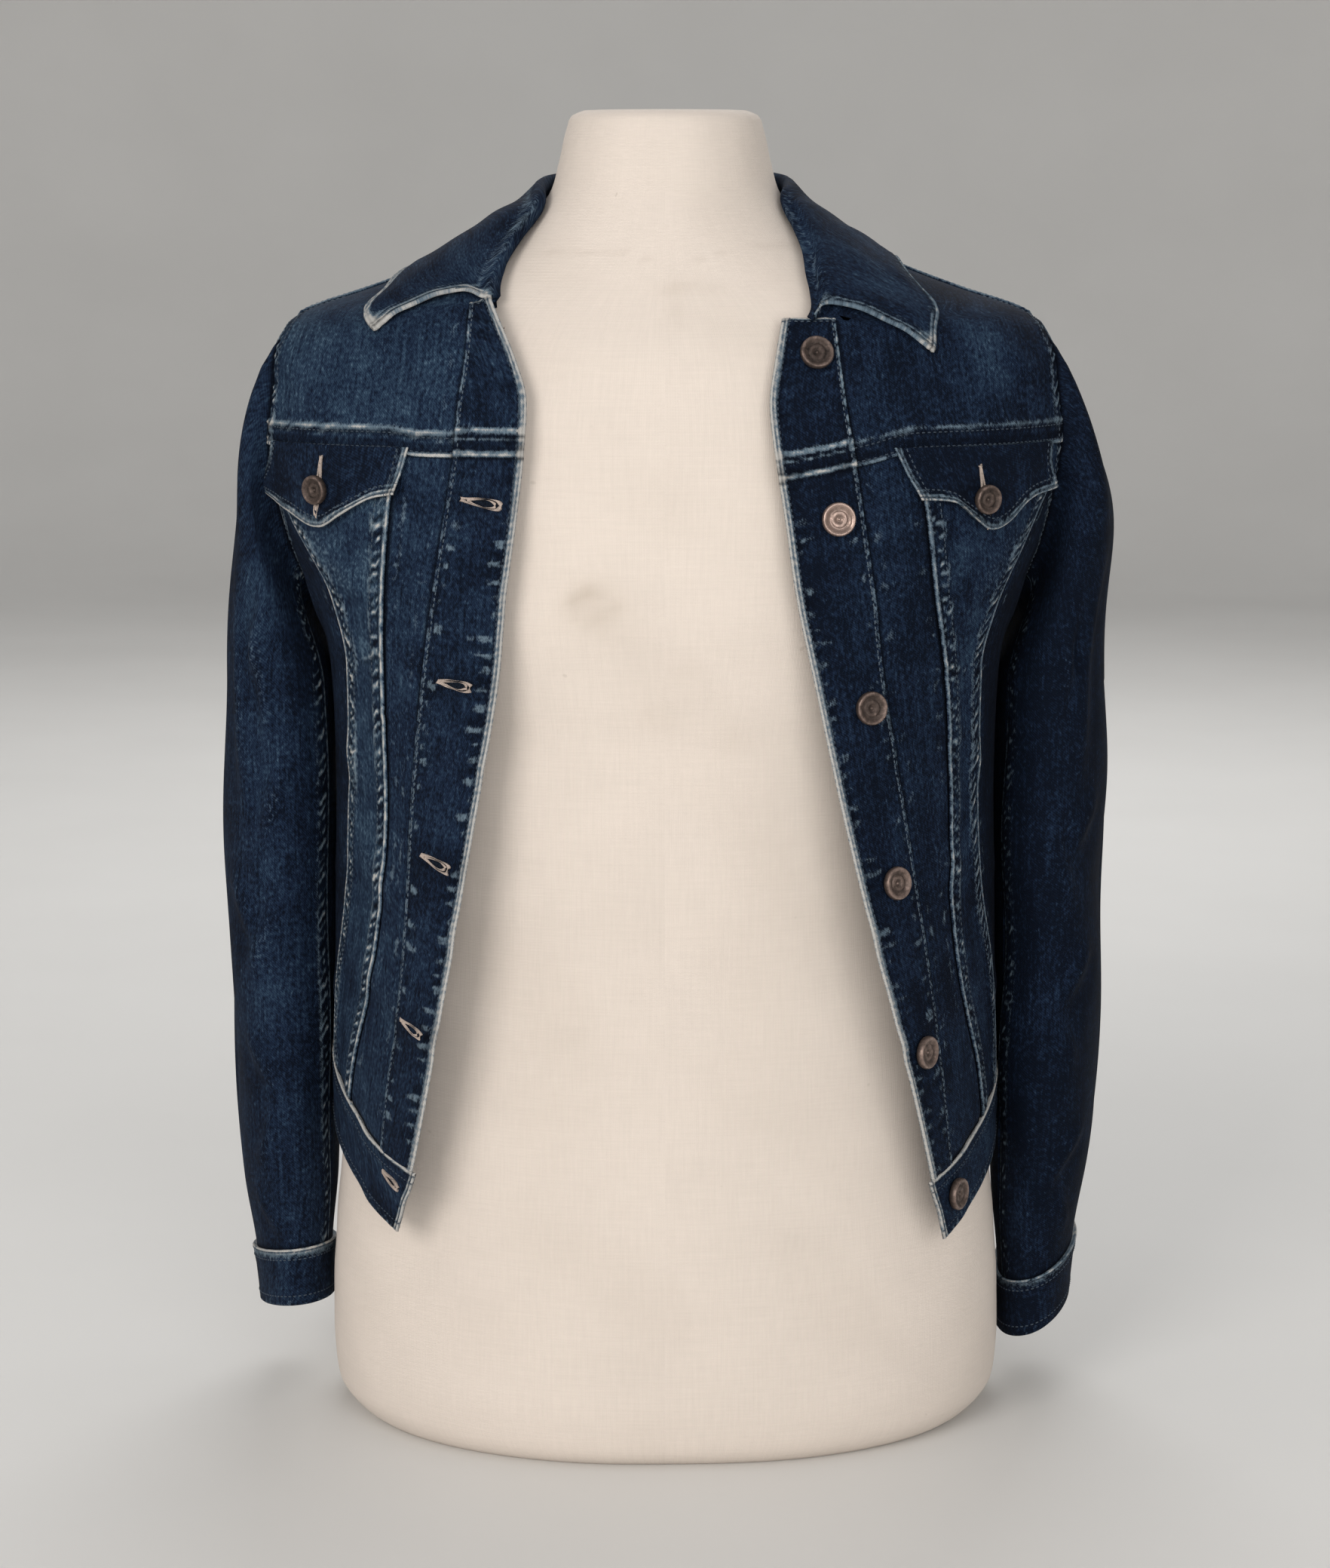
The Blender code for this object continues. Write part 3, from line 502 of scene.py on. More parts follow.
WAIST_FOLD = {
    "step": 0.0002,
    "between": (0.0036, 0.0064),
    "slant": 0.5,
    "rope": 0.15,
    "lines": (
        (0.0007, 0.0012, 1.45),
        (0.0023, 0.0006, -0.65),
        (0.0068, 0.0006, -0.30),
        (0.0082, 0.0009, 0.24),
    ),
}
PIPED = {
    "step": 0.0003,
    "between": (0.0060, 0.0070),
    "slant": 0.4,
    "rope": 0.0,
    "lines": (
        (0.0006, 0.0009, 1.45),
        (0.0018, 0.0005, -0.85),
        (0.0029, 0.0008, 0.95),
        (0.0041, 0.0005, -0.60),
        (0.0054, 0.0006, 0.34),
    ),
}
TURNED = {
    "step": 0.0002,
    "between": (0.0015, 0.0050),
    "slant": 0.5,
    "rope": 0.40,
    "lines": ((0.0006, 0.0009, 0.40), (0.0056, 0.0006, -0.25)),
}


def cloud(x, y, size, seed):
    """Soft noise of about -1 to 1: sine waves of nearly one length in seeded directions, summed."""
    dice = np.random.default_rng(seed)
    total = 0
    for _ in range(9):
        angle, phase = dice.uniform(0, TURN, 2)
        length = size * dice.uniform(0.6, 1.7)
        total = total + np.sin(TURN * (x * math.cos(angle) + y * math.sin(angle)) / length + phase)
    return total / 3.6


def uneven(run, pitch, seed):
    """A wave along a seam: sin(2 pi run / pitch + drift), whose drift and height wander."""
    p = np.random.default_rng(seed).uniform(0, TURN, 4)
    drift = 0.9 * np.sin(TURN * run / (pitch * 4.3) + p[0]) + 0.6 * np.sin(TURN * run / (pitch * 2.57) + p[1])
    size = 0.75 + 0.35 * np.sin(TURN * run / (pitch * 3.1) + p[2])
    return size * np.sin(TURN * run / pitch + drift + p[3])


def creases(x, z, rows):
    """Soft ridges with a trough beside each: a bell across its own line that fades at both ends.

    Each row is x and z of its two ends, its width, its depth and how far its middle bows, in mm.
    """
    total = np.zeros(np.broadcast(x, z).shape)
    for x0, z0, x1, z1, width, depth, bow in np.array(rows, float) / 1000:
        length = math.hypot(x1 - x0, z1 - z0)
        along = ((x - x0) * (x1 - x0) + (z - z0) * (z1 - z0)) / length**2
        off = ((x - x0) * (z1 - z0) - (z - z0) * (x1 - x0)) / length
        off = off - bow * (1 - (2 * along - 1) ** 2)
        fade = smooth(along, -0.1, 0.35) * (1 - smooth(along, 0.65, 1.1))
        total += depth * fade * (bell(off, 0, width) - 0.55 * bell(off, 1.7 * width, 1.3 * width))
    return total


class Cloth:
    """A grid of cloth, rows up and columns across, with what is added to it.

    `lift` moves it along its normal in metres; `tone` is how washed it is, `wear` how pale an edge or
    a high spot has rubbed, and `shade` how much painted shade darkens it in seams, grooves, troughs and gaps, each from
    0 to 1.
    """

    def __init__(self, points, tone):
        self.points = points
        rows, columns = np.gradient(points, axis=0), np.gradient(points, axis=1)
        normals = np.cross(columns, rows)
        self.normals = normals / np.maximum(np.linalg.norm(normals, axis=-1, keepdims=True), 1e-12)
        self.across = self.lengths(1)
        self.up = self.lengths(0)
        shape = points.shape[:2]
        self.lift = np.zeros(shape)
        self.wear = np.zeros(shape)
        self.shade = np.zeros(shape)
        self.tone = np.full(shape, float(tone))

    def lengths(self, axis):
        """Running length along the rows or the columns."""
        gaps = np.linalg.norm(np.diff(self.points, axis=axis), axis=-1)
        return np.insert(np.cumsum(gaps, axis=axis), 0, 0, axis=axis)

    def away(self, border):
        """Distance from a border, measured on the cloth."""
        return {
            "start": self.across,
            "end": self.across[:, -1:] - self.across,
            "bottom": self.up,
            "top": self.up[-1:] - self.up,
        }[border]

    def run(self, border):
        """Running length along a border."""
        return self.up if border in ("start", "end") else self.across

    def surface(self):
        """The displaced points."""
        return self.points + self.normals * self.lift[..., None]

    def area(self):
        """Area of one face, from the edges of its cells."""
        row = np.diff(self.points, axis=1)[:-1]
        column = np.diff(self.points, axis=0)[:, :-1]
        return float(np.linalg.norm(np.cross(row, column), axis=-1).sum())

    def mottle(self, size, amount, seed):
        """Uneven washing."""
        self.tone += amount * cloud(self.across, self.up, size, seed)

    def crease(self, x, z, rows, wear=0.22):
        """Adds creases, rubbed a little on their ridges, with painted shade in their troughs."""
        shape = creases(x, z, rows)
        self.lift += shape
        self.wear += wear * np.clip(shape / 0.003, 0, 1)
        # Painted shade in the troughs, scaled with the rubbing.
        self.shade += 0.5 * wear * np.clip(-shape / 0.002, 0, 1)

    def fold(self, border, seam, seed=0, only=1.0, step=None):
        """A turned edge that lies on its neighbour, drawn with the ridges and hollows of one seam table.

        The pale, rubbed ridges and the dark grooves of painted shade are bells across the distance from the edge;
        between the two
        stitch rows the cloth ropes: its puckers slant, so their phase also grows with the distance.
        """
        sizes = bpy.context.scene.jacket_sizes
        away, run = self.away(border), self.run(border)
        near, far = seam["between"]
        wave = uneven(run + seam["slant"] * away, sizes.pucker_pitch, seed)
        between = smooth(away, near - 0.0006, near + 0.0006) * (1 - smooth(away, far - 0.0006, far + 0.0006))
        broken = 0.80 + 0.30 * cloud(run, away, 0.004, seed + 1)
        raise_by = (seam["step"] if step is None else step) * (1 - smooth(away, far, far + 0.0050))
        raise_by -= 0.0008 * (1 - smooth(away, 0, 0.0008))
        raise_by += seam["rope"] * sizes.pucker_depth * wave * between
        pale = 0.95 * seam["rope"] * smooth(wave, 0.05, 0.75) * between * broken
        # Painted shade in the pucker troughs, and below it in the grooves of the seam lines.
        dark = 0.95 * seam["rope"] * smooth(-wave, 0.0, 0.7) * between
        for place_at, width, strength in seam["lines"]:
            shape = strength * bell(away, place_at, width)
            raise_by += 0.00035 * shape
            pale += np.clip(shape, 0, 2) * broken
            dark += np.clip(-shape, 0, 1)
        self.lift += only * raise_by
        self.wear += only * pale
        self.shade += only * dark

    def tuck(self, border, lap=TUCK, depth=0.0007, seed=0, rope=0.35):
        """An edge that runs under its neighbour: it sinks, takes painted shade at the seam, and the turning inside
        it presses a faint pale line beside the seam, with soft puckers up to it."""
        beyond = self.away(border) - lap
        wave = uneven(self.run(border), 1.3 * bpy.context.scene.jacket_sizes.pucker_pitch, seed)
        broken = np.clip(0.6 + 0.7 * cloud(self.run(border), beyond, 0.009, seed + 1), 0, 1.4)
        self.lift += rope * 0.0004 * wave * bell(beyond, 0.0042, 0.0028)
        self.wear += rope * 0.45 * smooth(wave, 0.2, 0.9) * bell(beyond, 0.0045, 0.0022) * broken
        self.wear += rope * 0.50 * bell(beyond, 0.0072, 0.0008) * broken
        self.lift -= depth * (1 - smooth(beyond, -0.0010, 0.0028))
        # Painted shade where the edge runs under its neighbour.
        self.shade += 1 - smooth(beyond, 0.0006, 0.0022)


def grid_mesh(name, points, uv, layers, wrap=False):
    """A mesh of quads over a grid of points, with a UV map in metres and a value layer for each name.

    Cell (i, j) has the corners (i, j), (i, j+1), (i+1, j+1), (i+1, j); `wrap` joins the last column
    to the first, and then the UV grid has one more column than the points.
    """
    rows, columns = points.shape[:2]
    cells = columns if wrap else columns - 1
    i, j = np.meshgrid(np.arange(rows - 1), np.arange(cells), indexing="ij")
    corner_rows = np.stack([i, i, i + 1, i + 1], -1).reshape(-1)
    corner_columns = np.stack([j, j + 1, j + 1, j], -1).reshape(-1)
    mesh = bpy.data.meshes.new(name)
    mesh.vertices.add(rows * columns)
    mesh.vertices.foreach_set("co", np.ascontiguousarray(points, np.float32).ravel())
    mesh.loops.add(len(corner_rows))
    indices = corner_rows * columns + corner_columns % columns
    mesh.loops.foreach_set("vertex_index", indices.astype(np.int32))
    mesh.polygons.add(len(corner_rows) // 4)
    mesh.polygons.foreach_set("loop_start", np.arange(0, len(corner_rows), 4, dtype=np.int32))
    mesh.update(calc_edges=True)
    layer = mesh.uv_layers.new(name="Cloth")
    layer.data.foreach_set("uv", uv[corner_rows, corner_columns].astype(np.float32).ravel())
    for key, values in layers.items():
        attribute = mesh.attributes.new(key, "FLOAT", "POINT")
        attribute.data.foreach_set("value", np.clip(values, 0, 1).astype(np.float32).ravel())
    mesh.shade_smooth()
    return mesh


def close_mesh(mesh):
    """Joins the points that lie on one another, closes what is open and turns the faces outwards."""
    work = bmesh.new()
    work.from_mesh(mesh)
    bmesh.ops.remove_doubles(work, verts=work.verts, dist=1e-6)
    bmesh.ops.recalc_face_normals(work, faces=work.faces)
    work.to_mesh(mesh)
    work.free()
    mesh.shade_smooth()


def place(name, mesh, material, slot, *nodes):
    """Links a finished mesh as a piece that rides on the object and stands for its CAD nodes."""
    piece = bpy.data.objects.new(name, mesh)
    bpy.context.scene.collection.objects.link(piece)
    mesh.materials.append(material)
    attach(piece, "root")
    if nodes:
        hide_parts(*nodes)
    return piece


def finish_cloth(name, cloth, side, wall, slot="dark_denim", middle=False, painted_side_shade=0.0):
    """Makes the piece: mirrored for the right side and thickened inwards.

    The last argument dims the pale, rubbed edges of the wearer's left front by a share: painted shade for the side that
    faces away from the light.
    """
    points, layers = cloth.surface(), {"tone": cloth.tone, "wear": cloth.wear, "shade": cloth.shade}
    uv = np.stack([cloth.across, cloth.up], -1)
    if side == "right":
        points = (points * np.array([-1.0, 1.0, 1.0]))[:, ::-1]
        layers = {key: values[:, ::-1] for key, values in layers.items()}
        uv = uv[:, ::-1] * np.array([-1.0, 1.0])
    # Painted shade: the pale, rubbed edges of the wearer's left front are dimmed by a share, as that side faces away
    # from the light.
    left_front = smooth(points[..., 0], 0.02, 0.05) * smooth(-points[..., 1], -0.04, 0.0)
    layers["wear"] = layers["wear"] * (1 - painted_side_shade * left_front)
    mesh = grid_mesh(name, points, uv, layers)
    piece = place(name, mesh, denim_material(), slot, name)
    walls = piece.modifiers.new("Wall", "SOLIDIFY")
    walls.thickness = wall
    walls.offset = 0.0 if middle else -1.0
    round(cloth.area(), 5)
    return piece


THREADS = {}


def sew(group, cloth, side, border, away, pale=0.0, span=(0.0, 1.0), drop=0.00005):
    """Notes one row of stitches: points on the cloth at a distance from a border, with their normals."""
    points, normals = cloth.surface(), cloth.normals
    distance = cloth.away(border)
    if border in ("bottom", "top"):
        points, normals, distance = points.swapaxes(0, 1), normals.swapaxes(0, 1), distance.T
    if border in ("end", "top"):
        points, normals, distance = points[:, ::-1], normals[:, ::-1], distance[:, ::-1]
    reach = np.broadcast_to(np.asarray(away, float), distance.shape[:1])
    upper = np.clip((distance < reach[:, None]).sum(1), 1, distance.shape[1] - 1)
    row = np.arange(len(distance))
    low, high = distance[row, upper - 1], distance[row, upper]
    t = np.clip((reach - low) / np.maximum(high - low, 1e-9), 0, 1)[:, None]
    path = points[row, upper - 1] * (1 - t) + points[row, upper] * t
    facing = normals[row, upper - 1] * (1 - t) + normals[row, upper] * t
    note_stitches(group, side, path, facing, pale, span, drop)


def note_stitches(group, side, path, facing, pale=0.0, span=(0.0, 1.0), drop=0.00005):
    """Spaces stitches evenly on a path and keeps each one's middle, direction, normal and paleness."""
    sizes = bpy.context.scene.jacket_sizes
    if side == "right":
        path, facing = path * np.array([-1.0, 1.0, 1.0]), facing * np.array([-1.0, 1.0, 1.0])
    run = np.insert(np.cumsum(np.linalg.norm(np.diff(path, axis=0), axis=1)), 0, 0)
    first, last = run[-1] * span[0], run[-1] * span[1]
    count = max(int((last - first) / sizes.stitch_pitch), 1)
    at = first + (np.arange(count) + 0.5) * (last - first) / count
    half = sizes.stitch_length / 2
    middle, ahead, behind, normal = (
        np.stack([np.interp(at + shift, run, source[:, axis]) for axis in range(3)], -1)
        for source, shift in ((path, 0), (path, half), (path, -half), (facing, 0))
    )
    along = ahead - behind
    along /= np.maximum(np.linalg.norm(along, axis=1, keepdims=True), 1e-9)
    normal /= np.linalg.norm(normal, axis=1, keepdims=True)
    keep = np.linalg.norm(ahead - behind, axis=1) > half
    paleness = np.full(count, pale)
    found = [middle[keep] - normal[keep] * drop, along[keep], normal[keep], paleness[keep]]
    THREADS.setdefault(group, []).append(found)


def build_stitches(group):
    """All stitches of a group as one mesh of short spindles, four-sided, whose ends dive into the cloth."""
    sizes = bpy.context.scene.jacket_sizes
    middle, along, normal, pale = (np.concatenate(parts) for parts in zip(*THREADS[group]))
    beside = np.cross(along, normal)
    place_along = np.array([-0.5, -0.25, 0.25, 0.5]) * sizes.stitch_length
    radius = np.array([0.35, 1.0, 1.0, 0.35]) * sizes.thread_radius
    sink = np.array([-1.3, 0.25, 0.25, -1.3]) * sizes.thread_radius
    angle = np.arange(4) * QUARTER
    rise = sink[:, None] + radius[:, None] * np.cos(angle)
    wide = radius[:, None] * np.sin(angle)
    points = middle[:, None, None] + along[:, None, None] * place_along[:, None, None]
    points = points + normal[:, None, None] * rise[..., None] + beside[:, None, None] * wide[..., None]
    count = len(middle)
    ring, turn = np.meshgrid(np.arange(3), np.arange(4), indexing="ij")
    following = (turn + 1) % 4
    quad = np.stack(
        [ring * 4 + turn, ring * 4 + following, ring * 4 + 4 + following, ring * 4 + 4 + turn], -1
    ).reshape(-1, 4)
    faces = (np.arange(count)[:, None, None] * 16 + quad).reshape(-1, 4)
    mesh = bpy.data.meshes.new(group)
    mesh.vertices.add(count * 16)
    mesh.vertices.foreach_set("co", points.astype(np.float32).ravel())
    mesh.loops.add(faces.size)
    mesh.loops.foreach_set("vertex_index", faces.astype(np.int32).ravel())
    mesh.polygons.add(len(faces))
    mesh.polygons.foreach_set("loop_start", np.arange(0, faces.size, 4, dtype=np.int32))
    mesh.update(calc_edges=True)
    attribute = mesh.attributes.new("wear", "FLOAT", "POINT")
    attribute.data.foreach_set("value", np.repeat(pale, 16).astype(np.float32))
    mesh.shade_smooth()
    place(group, mesh, thread_material(), "dark_denim")


# ---------------------------------------------------------------------------------------------
# Materials


SHADER_SOCKETS = {
    "sheen_weight": "Sheen Weight",
    "sheen_roughness": "Sheen Roughness",
    "specular": "Specular IOR Level",
    "metallic": "Metallic",
}


class Finish:
    """A Principled material being put together; each call adds one node and returns its output."""

    def __init__(self, name):
        self.material = bpy.data.materials.new(name)
        self.material.use_nodes = True
        self.tree = self.material.node_tree
        self.shader = self.tree.nodes["Principled BSDF"]

    def put(self, socket, value):
        """Sets a socket to a constant or links it to an output."""
        if isinstance(value, bpy.types.NodeSocket):
            self.tree.links.new(value, socket)
        else:
            socket.default_value = value

    def add(self, kind, inputs, output=0, **settings):
        """A node of a kind, with its settings and its inputs by name or number."""
        node = self.tree.nodes.new(kind)
        for key, value in settings.items():
            setattr(node, key, value)
        for key, value in inputs.items():
            self.put(node.inputs[key], value)
        return node.outputs[output]

    def math(self, operation, a, b=0.0, clamp=False):
        """One sum of two values."""
        return self.add("ShaderNodeMath", {0: a, 1: b}, operation=operation, use_clamp=clamp)

    def ramp(self, value, *stops):
        """Colours read along a value: each stop is its place and its colour."""
        node = self.tree.nodes.new("ShaderNodeValToRGB")
        bar = node.color_ramp.elements
        while len(bar) < len(stops):
            bar.new(0.5)
        for element, (position, colour) in zip(bar, stops):
            element.position = position
            element.color = (*colour, 1.0)
        self.put(node.inputs[0], value)
        return node.outputs[0]

    def mix(self, share, a, b):
        """Mixes two colours by a share."""
        node = self.tree.nodes.new("ShaderNodeMix")
        node.data_type = "RGBA"
        self.put(node.inputs["Factor"], share)
        self.put(node.inputs[6], a)
        self.put(node.inputs[7], b)
        return node.outputs[2]

    def grade(self, value, low, high):
        """0 to 1 as the value goes from low to high, on an S curve."""
        inputs = {"Value": value, "From Min": low, "From Max": high}
        return self.add("ShaderNodeMapRange", inputs, interpolation_type="SMOOTHSTEP")

    def layer(self, name):
        """A value that was worked out for each point of the mesh."""
        return self.add("ShaderNodeAttribute", {}, output=2, attribute_name=name)

    def noise(self, vector, scale, detail=2.0, stretch=(1.0, 1.0, 1.0)):
        """Fine noise, longer along an axis whose stretch is under 1."""
        moved = self.add("ShaderNodeMapping", {"Vector": vector, "Scale": stretch})
        return self.add("ShaderNodeTexNoise", {"Vector": moved, "Scale": scale, "Detail": detail})

    def surface(self, colour, roughness, height, bump, **constants):
        """Joins the colour, roughness and bump to the shader, and sets its constants."""
        self.put(self.shader.inputs["Base Color"], colour)
        self.put(self.shader.inputs["Roughness"], roughness)
        normal = self.add("ShaderNodeBump", {"Strength": bump, "Distance": 0.0004, "Height": height})
        self.put(self.shader.inputs["Normal"], normal)
        for key, value in constants.items():
            self.shader.inputs[SHADER_SOCKETS[key]].default_value = value
        return self.material


def once(make):
    """Keeps a material so that every piece shares one copy."""
    kept = []

    def fetch():
        if not kept:
            kept.append(make())
        return kept[0]

    return fetch


@once
def denim_material():
    """Indigo twill: diagonal ribs, warp streaks, uneven washing, pale rubbed edges, and painted shade in seams, creases
    and gaps.
    """
    colours = bpy.context.scene.jacket_colours
    finish = Finish("indigo_twill")
    cloth = finish.add("ShaderNodeUVMap", {}, uv_map="Cloth")
    twill = finish.add(
        "ShaderNodeTexWave",
        {"Vector": cloth, "Scale": 440.0, "Distortion": 1.6, "Detail": 1.0, "Detail Scale": 3.0},
        output=1,
        bands_direction="DIAGONAL",
    )
    grain = finish.noise(cloth, 1000.0, 2.0, (1.0, 0.45, 1.0))
    streak = finish.noise(cloth, 520.0, 3.0, (1.0, 0.05, 1.0))
    mottle = finish.noise(cloth, 75.0, 4.0)
    speck = finish.noise(cloth, 460.0, 2.0, (1.0, 0.7, 1.0))
    tone = finish.layer("tone")
    for pattern, amount in ((streak, 0.75), (mottle, 0.60), (grain, 1.15), (speck, 0.90), (twill, 0.16)):
        tone = finish.math("ADD", tone, finish.math("MULTIPLY", finish.math("SUBTRACT", pattern, 0.5), amount))
    tone = finish.math("ADD", tone, 0.0, clamp=True)
    base = finish.ramp(
        tone,
        (0.0, tuple(colours.indigo_dark)),
        (0.35, tuple(colours.indigo)),
        (0.72, tuple(colours.washed)),
        (1.0, tuple(colours.faded)),
    )
    rubbed = finish.math("ADD", finish.layer("wear"), finish.math("MULTIPLY", finish.math("SUBTRACT", grain, 0.5), 0.55))
    rubbed = finish.math("ADD", rubbed, finish.math("MULTIPLY", finish.math("SUBTRACT", speck, 0.5), 0.40))
    rubbed = finish.math("ADD", rubbed, finish.math("MULTIPLY", finish.math("SUBTRACT", twill, 0.5), 0.06))
    worn = finish.mix(finish.grade(rubbed, 0.12, 0.50), base, (*colours.rubbed, 1.0))
    worn = finish.mix(finish.grade(rubbed, 0.45, 0.95), worn, (*colours.worn, 1.0))
    # Painted shade: the shade layer turns the colour towards a near-black navy.
    painted_shade = finish.math("MULTIPLY", finish.layer("shade"), 0.86, clamp=True)
    colour = finish.mix(painted_shade, worn, (*colours.painted_shade, 1.0))
    height = finish.math("ADD", finish.math("MULTIPLY", twill, 0.6), finish.math("MULTIPLY", grain, 0.8))
    roughness = finish.grade(grain, -1.6, 1.2)
    return finish.surface(
        colour, roughness, height, 0.55, sheen_weight=0.006, sheen_roughness=0.5, specular=0.05
    )


@once
def thread_material():
    """Cotton topstitching: navy, or pale where a row has washed out."""
    colours = bpy.context.scene.jacket_colours
    finish = Finish("topstitch_thread")
    place_on = finish.add("ShaderNodeTexCoord", {}, output=3)
    fibre = finish.noise(place_on, 1800.0, 2.0)
    share = finish.math("ADD", finish.layer("wear"), finish.math("MULTIPLY", finish.math("SUBTRACT", fibre, 0.5), 0.5))
    colour = finish.ramp(
        share,
        (0.05, tuple(colours.thread_dark)),
        (0.55, tuple(colours.thread)),
        (1.0, tuple(colours.thread_pale)),
    )
    return finish.surface(colour, 0.8, fibre, 0.3, specular=0.3)


@once
def buttonhole_material():
    """Pinkish cream buttonhole twist."""
    colours = bpy.context.scene.jacket_colours
    finish = Finish("buttonhole_twist")
    place_on = finish.add("ShaderNodeTexCoord", {}, output=3)
    fibre = finish.noise(place_on, 1500.0, 3.0)
    dirt = finish.noise(place_on, 160.0, 3.0)
    share = finish.math("ADD", finish.math("MULTIPLY", fibre, 0.5), finish.math("MULTIPLY", dirt, 0.6))
    dark = tuple(0.35 * value for value in colours.twist)
    colour = finish.ramp(share, (0.25, dark), (0.62, tuple(colours.twist)))
    return finish.surface(colour, 0.75, fibre, 0.4, specular=0.3)


@once
def painted_slit_shade_material():
    """Painted shade for the open slit of a buttonhole, where the cut gapes."""
    finish = Finish("buttonhole_slit_painted_shade")
    place_on = finish.add("ShaderNodeTexCoord", {}, output=3)
    fibre = finish.noise(place_on, 1200.0, 2.0)
    colour = finish.ramp(fibre, (0.3, (0.0015, 0.0025, 0.0050)), (0.8, (0.010, 0.016, 0.028)))
    return finish.surface(colour, 0.95, fibre, 0.3, specular=0.1)


@once
def copper_material():
    """Aged copper: brown in the hollows, pinkish and smoother where the rim has rubbed."""
    colours = bpy.context.scene.jacket_colours
    finish = Finish("aged_copper")
    place_on = finish.add("ShaderNodeTexCoord", {}, output=3)
    patina = finish.noise(place_on, 340.0, 4.0)
    speck = finish.noise(place_on, 1500.0, 2.0)
    share = finish.math("ADD", finish.layer("wear"), finish.math("MULTIPLY", finish.math("SUBTRACT", patina, 0.5), 0.9))
    share = finish.math("ADD", share, finish.math("MULTIPLY", finish.math("SUBTRACT", speck, 0.5), 0.35), clamp=True)
    dark = tuple(0.05 * value for value in colours.copper)
    mid = tuple(0.26 * value for value in colours.copper)
    colour = finish.ramp(share, (0.0, dark), (0.45, mid), (1.0, tuple(colours.copper)))
    roughness = finish.grade(share, 1.9, -0.9)
    height = finish.math("ADD", patina, finish.math("MULTIPLY", speck, 0.5))
    return finish.surface(colour, roughness, height, 0.25, metallic=0.6)


@once
def linen_material():
    """Cream linen: a fine plain weave with slubs, faint yellow stains and a few small spots."""
    colours = bpy.context.scene.jacket_colours
    finish = Finish("cream_linen")
    cloth = finish.add("ShaderNodeUVMap", {}, uv_map="Cloth")
    weft = finish.add(
        "ShaderNodeTexWave", {"Vector": cloth, "Scale": 400.0, "Distortion": 1.2, "Detail": 1.0}, output=1,
        bands_direction="X",
    )
    warp = finish.add(
        "ShaderNodeTexWave", {"Vector": cloth, "Scale": 400.0, "Distortion": 1.2, "Detail": 1.0}, output=1,
        bands_direction="Y",
    )
    slub_across = finish.noise(cloth, 900.0, 2.0, (0.05, 1.0, 1.0))
    slub_up = finish.noise(cloth, 900.0, 2.0, (1.0, 0.05, 1.0))
    mottle = finish.noise(cloth, 16.0, 5.0)
    slub = finish.math("ADD", slub_across, slub_up)
    weave = finish.math("ADD", weft, warp)
    share = finish.math("ADD", finish.math("MULTIPLY", slub, 0.40), finish.math("MULTIPLY", weave, 0.05))
    share = finish.math("ADD", share, finish.math("MULTIPLY", mottle, 0.55))
    dark = tuple(0.90 * value for value in colours.linen)
    base = finish.ramp(share, (0.45, dark), (0.92, tuple(colours.linen)))
    stain = finish.mix(finish.layer("stain"), base, (*colours.stain, 1.0))
    speck = finish.math("MULTIPLY", finish.grade(finish.noise(cloth, 120.0, 1.0), 0.775, 0.83), 0.20)
    speck = finish.math("ADD", finish.layer("spot"), speck, clamp=True)
    colour = finish.mix(speck, stain, (*colours.spot, 1.0))
    height = finish.math("ADD", finish.math("MULTIPLY", weave, 0.35), finish.math("MULTIPLY", slub, 0.7))
    return finish.surface(colour, 0.9, height, 0.35, sheen_weight=0.08, specular=0.25)


@once
def floor_material():
    """A pale matt floor with the faintest unevenness."""
    finish = Finish("pale_floor")
    place_on = finish.add("ShaderNodeTexCoord", {}, output=3)
    tint = finish.noise(place_on, 3.0, 3.0)
    colour = finish.ramp(tint, (0.3, (0.70, 0.69, 0.67)), (0.7, (0.73, 0.72, 0.70)))
    return finish.surface(colour, 0.9, tint, 0.05, specular=0.2)


# ---------------------------------------------------------------------------------------------
# Pieces


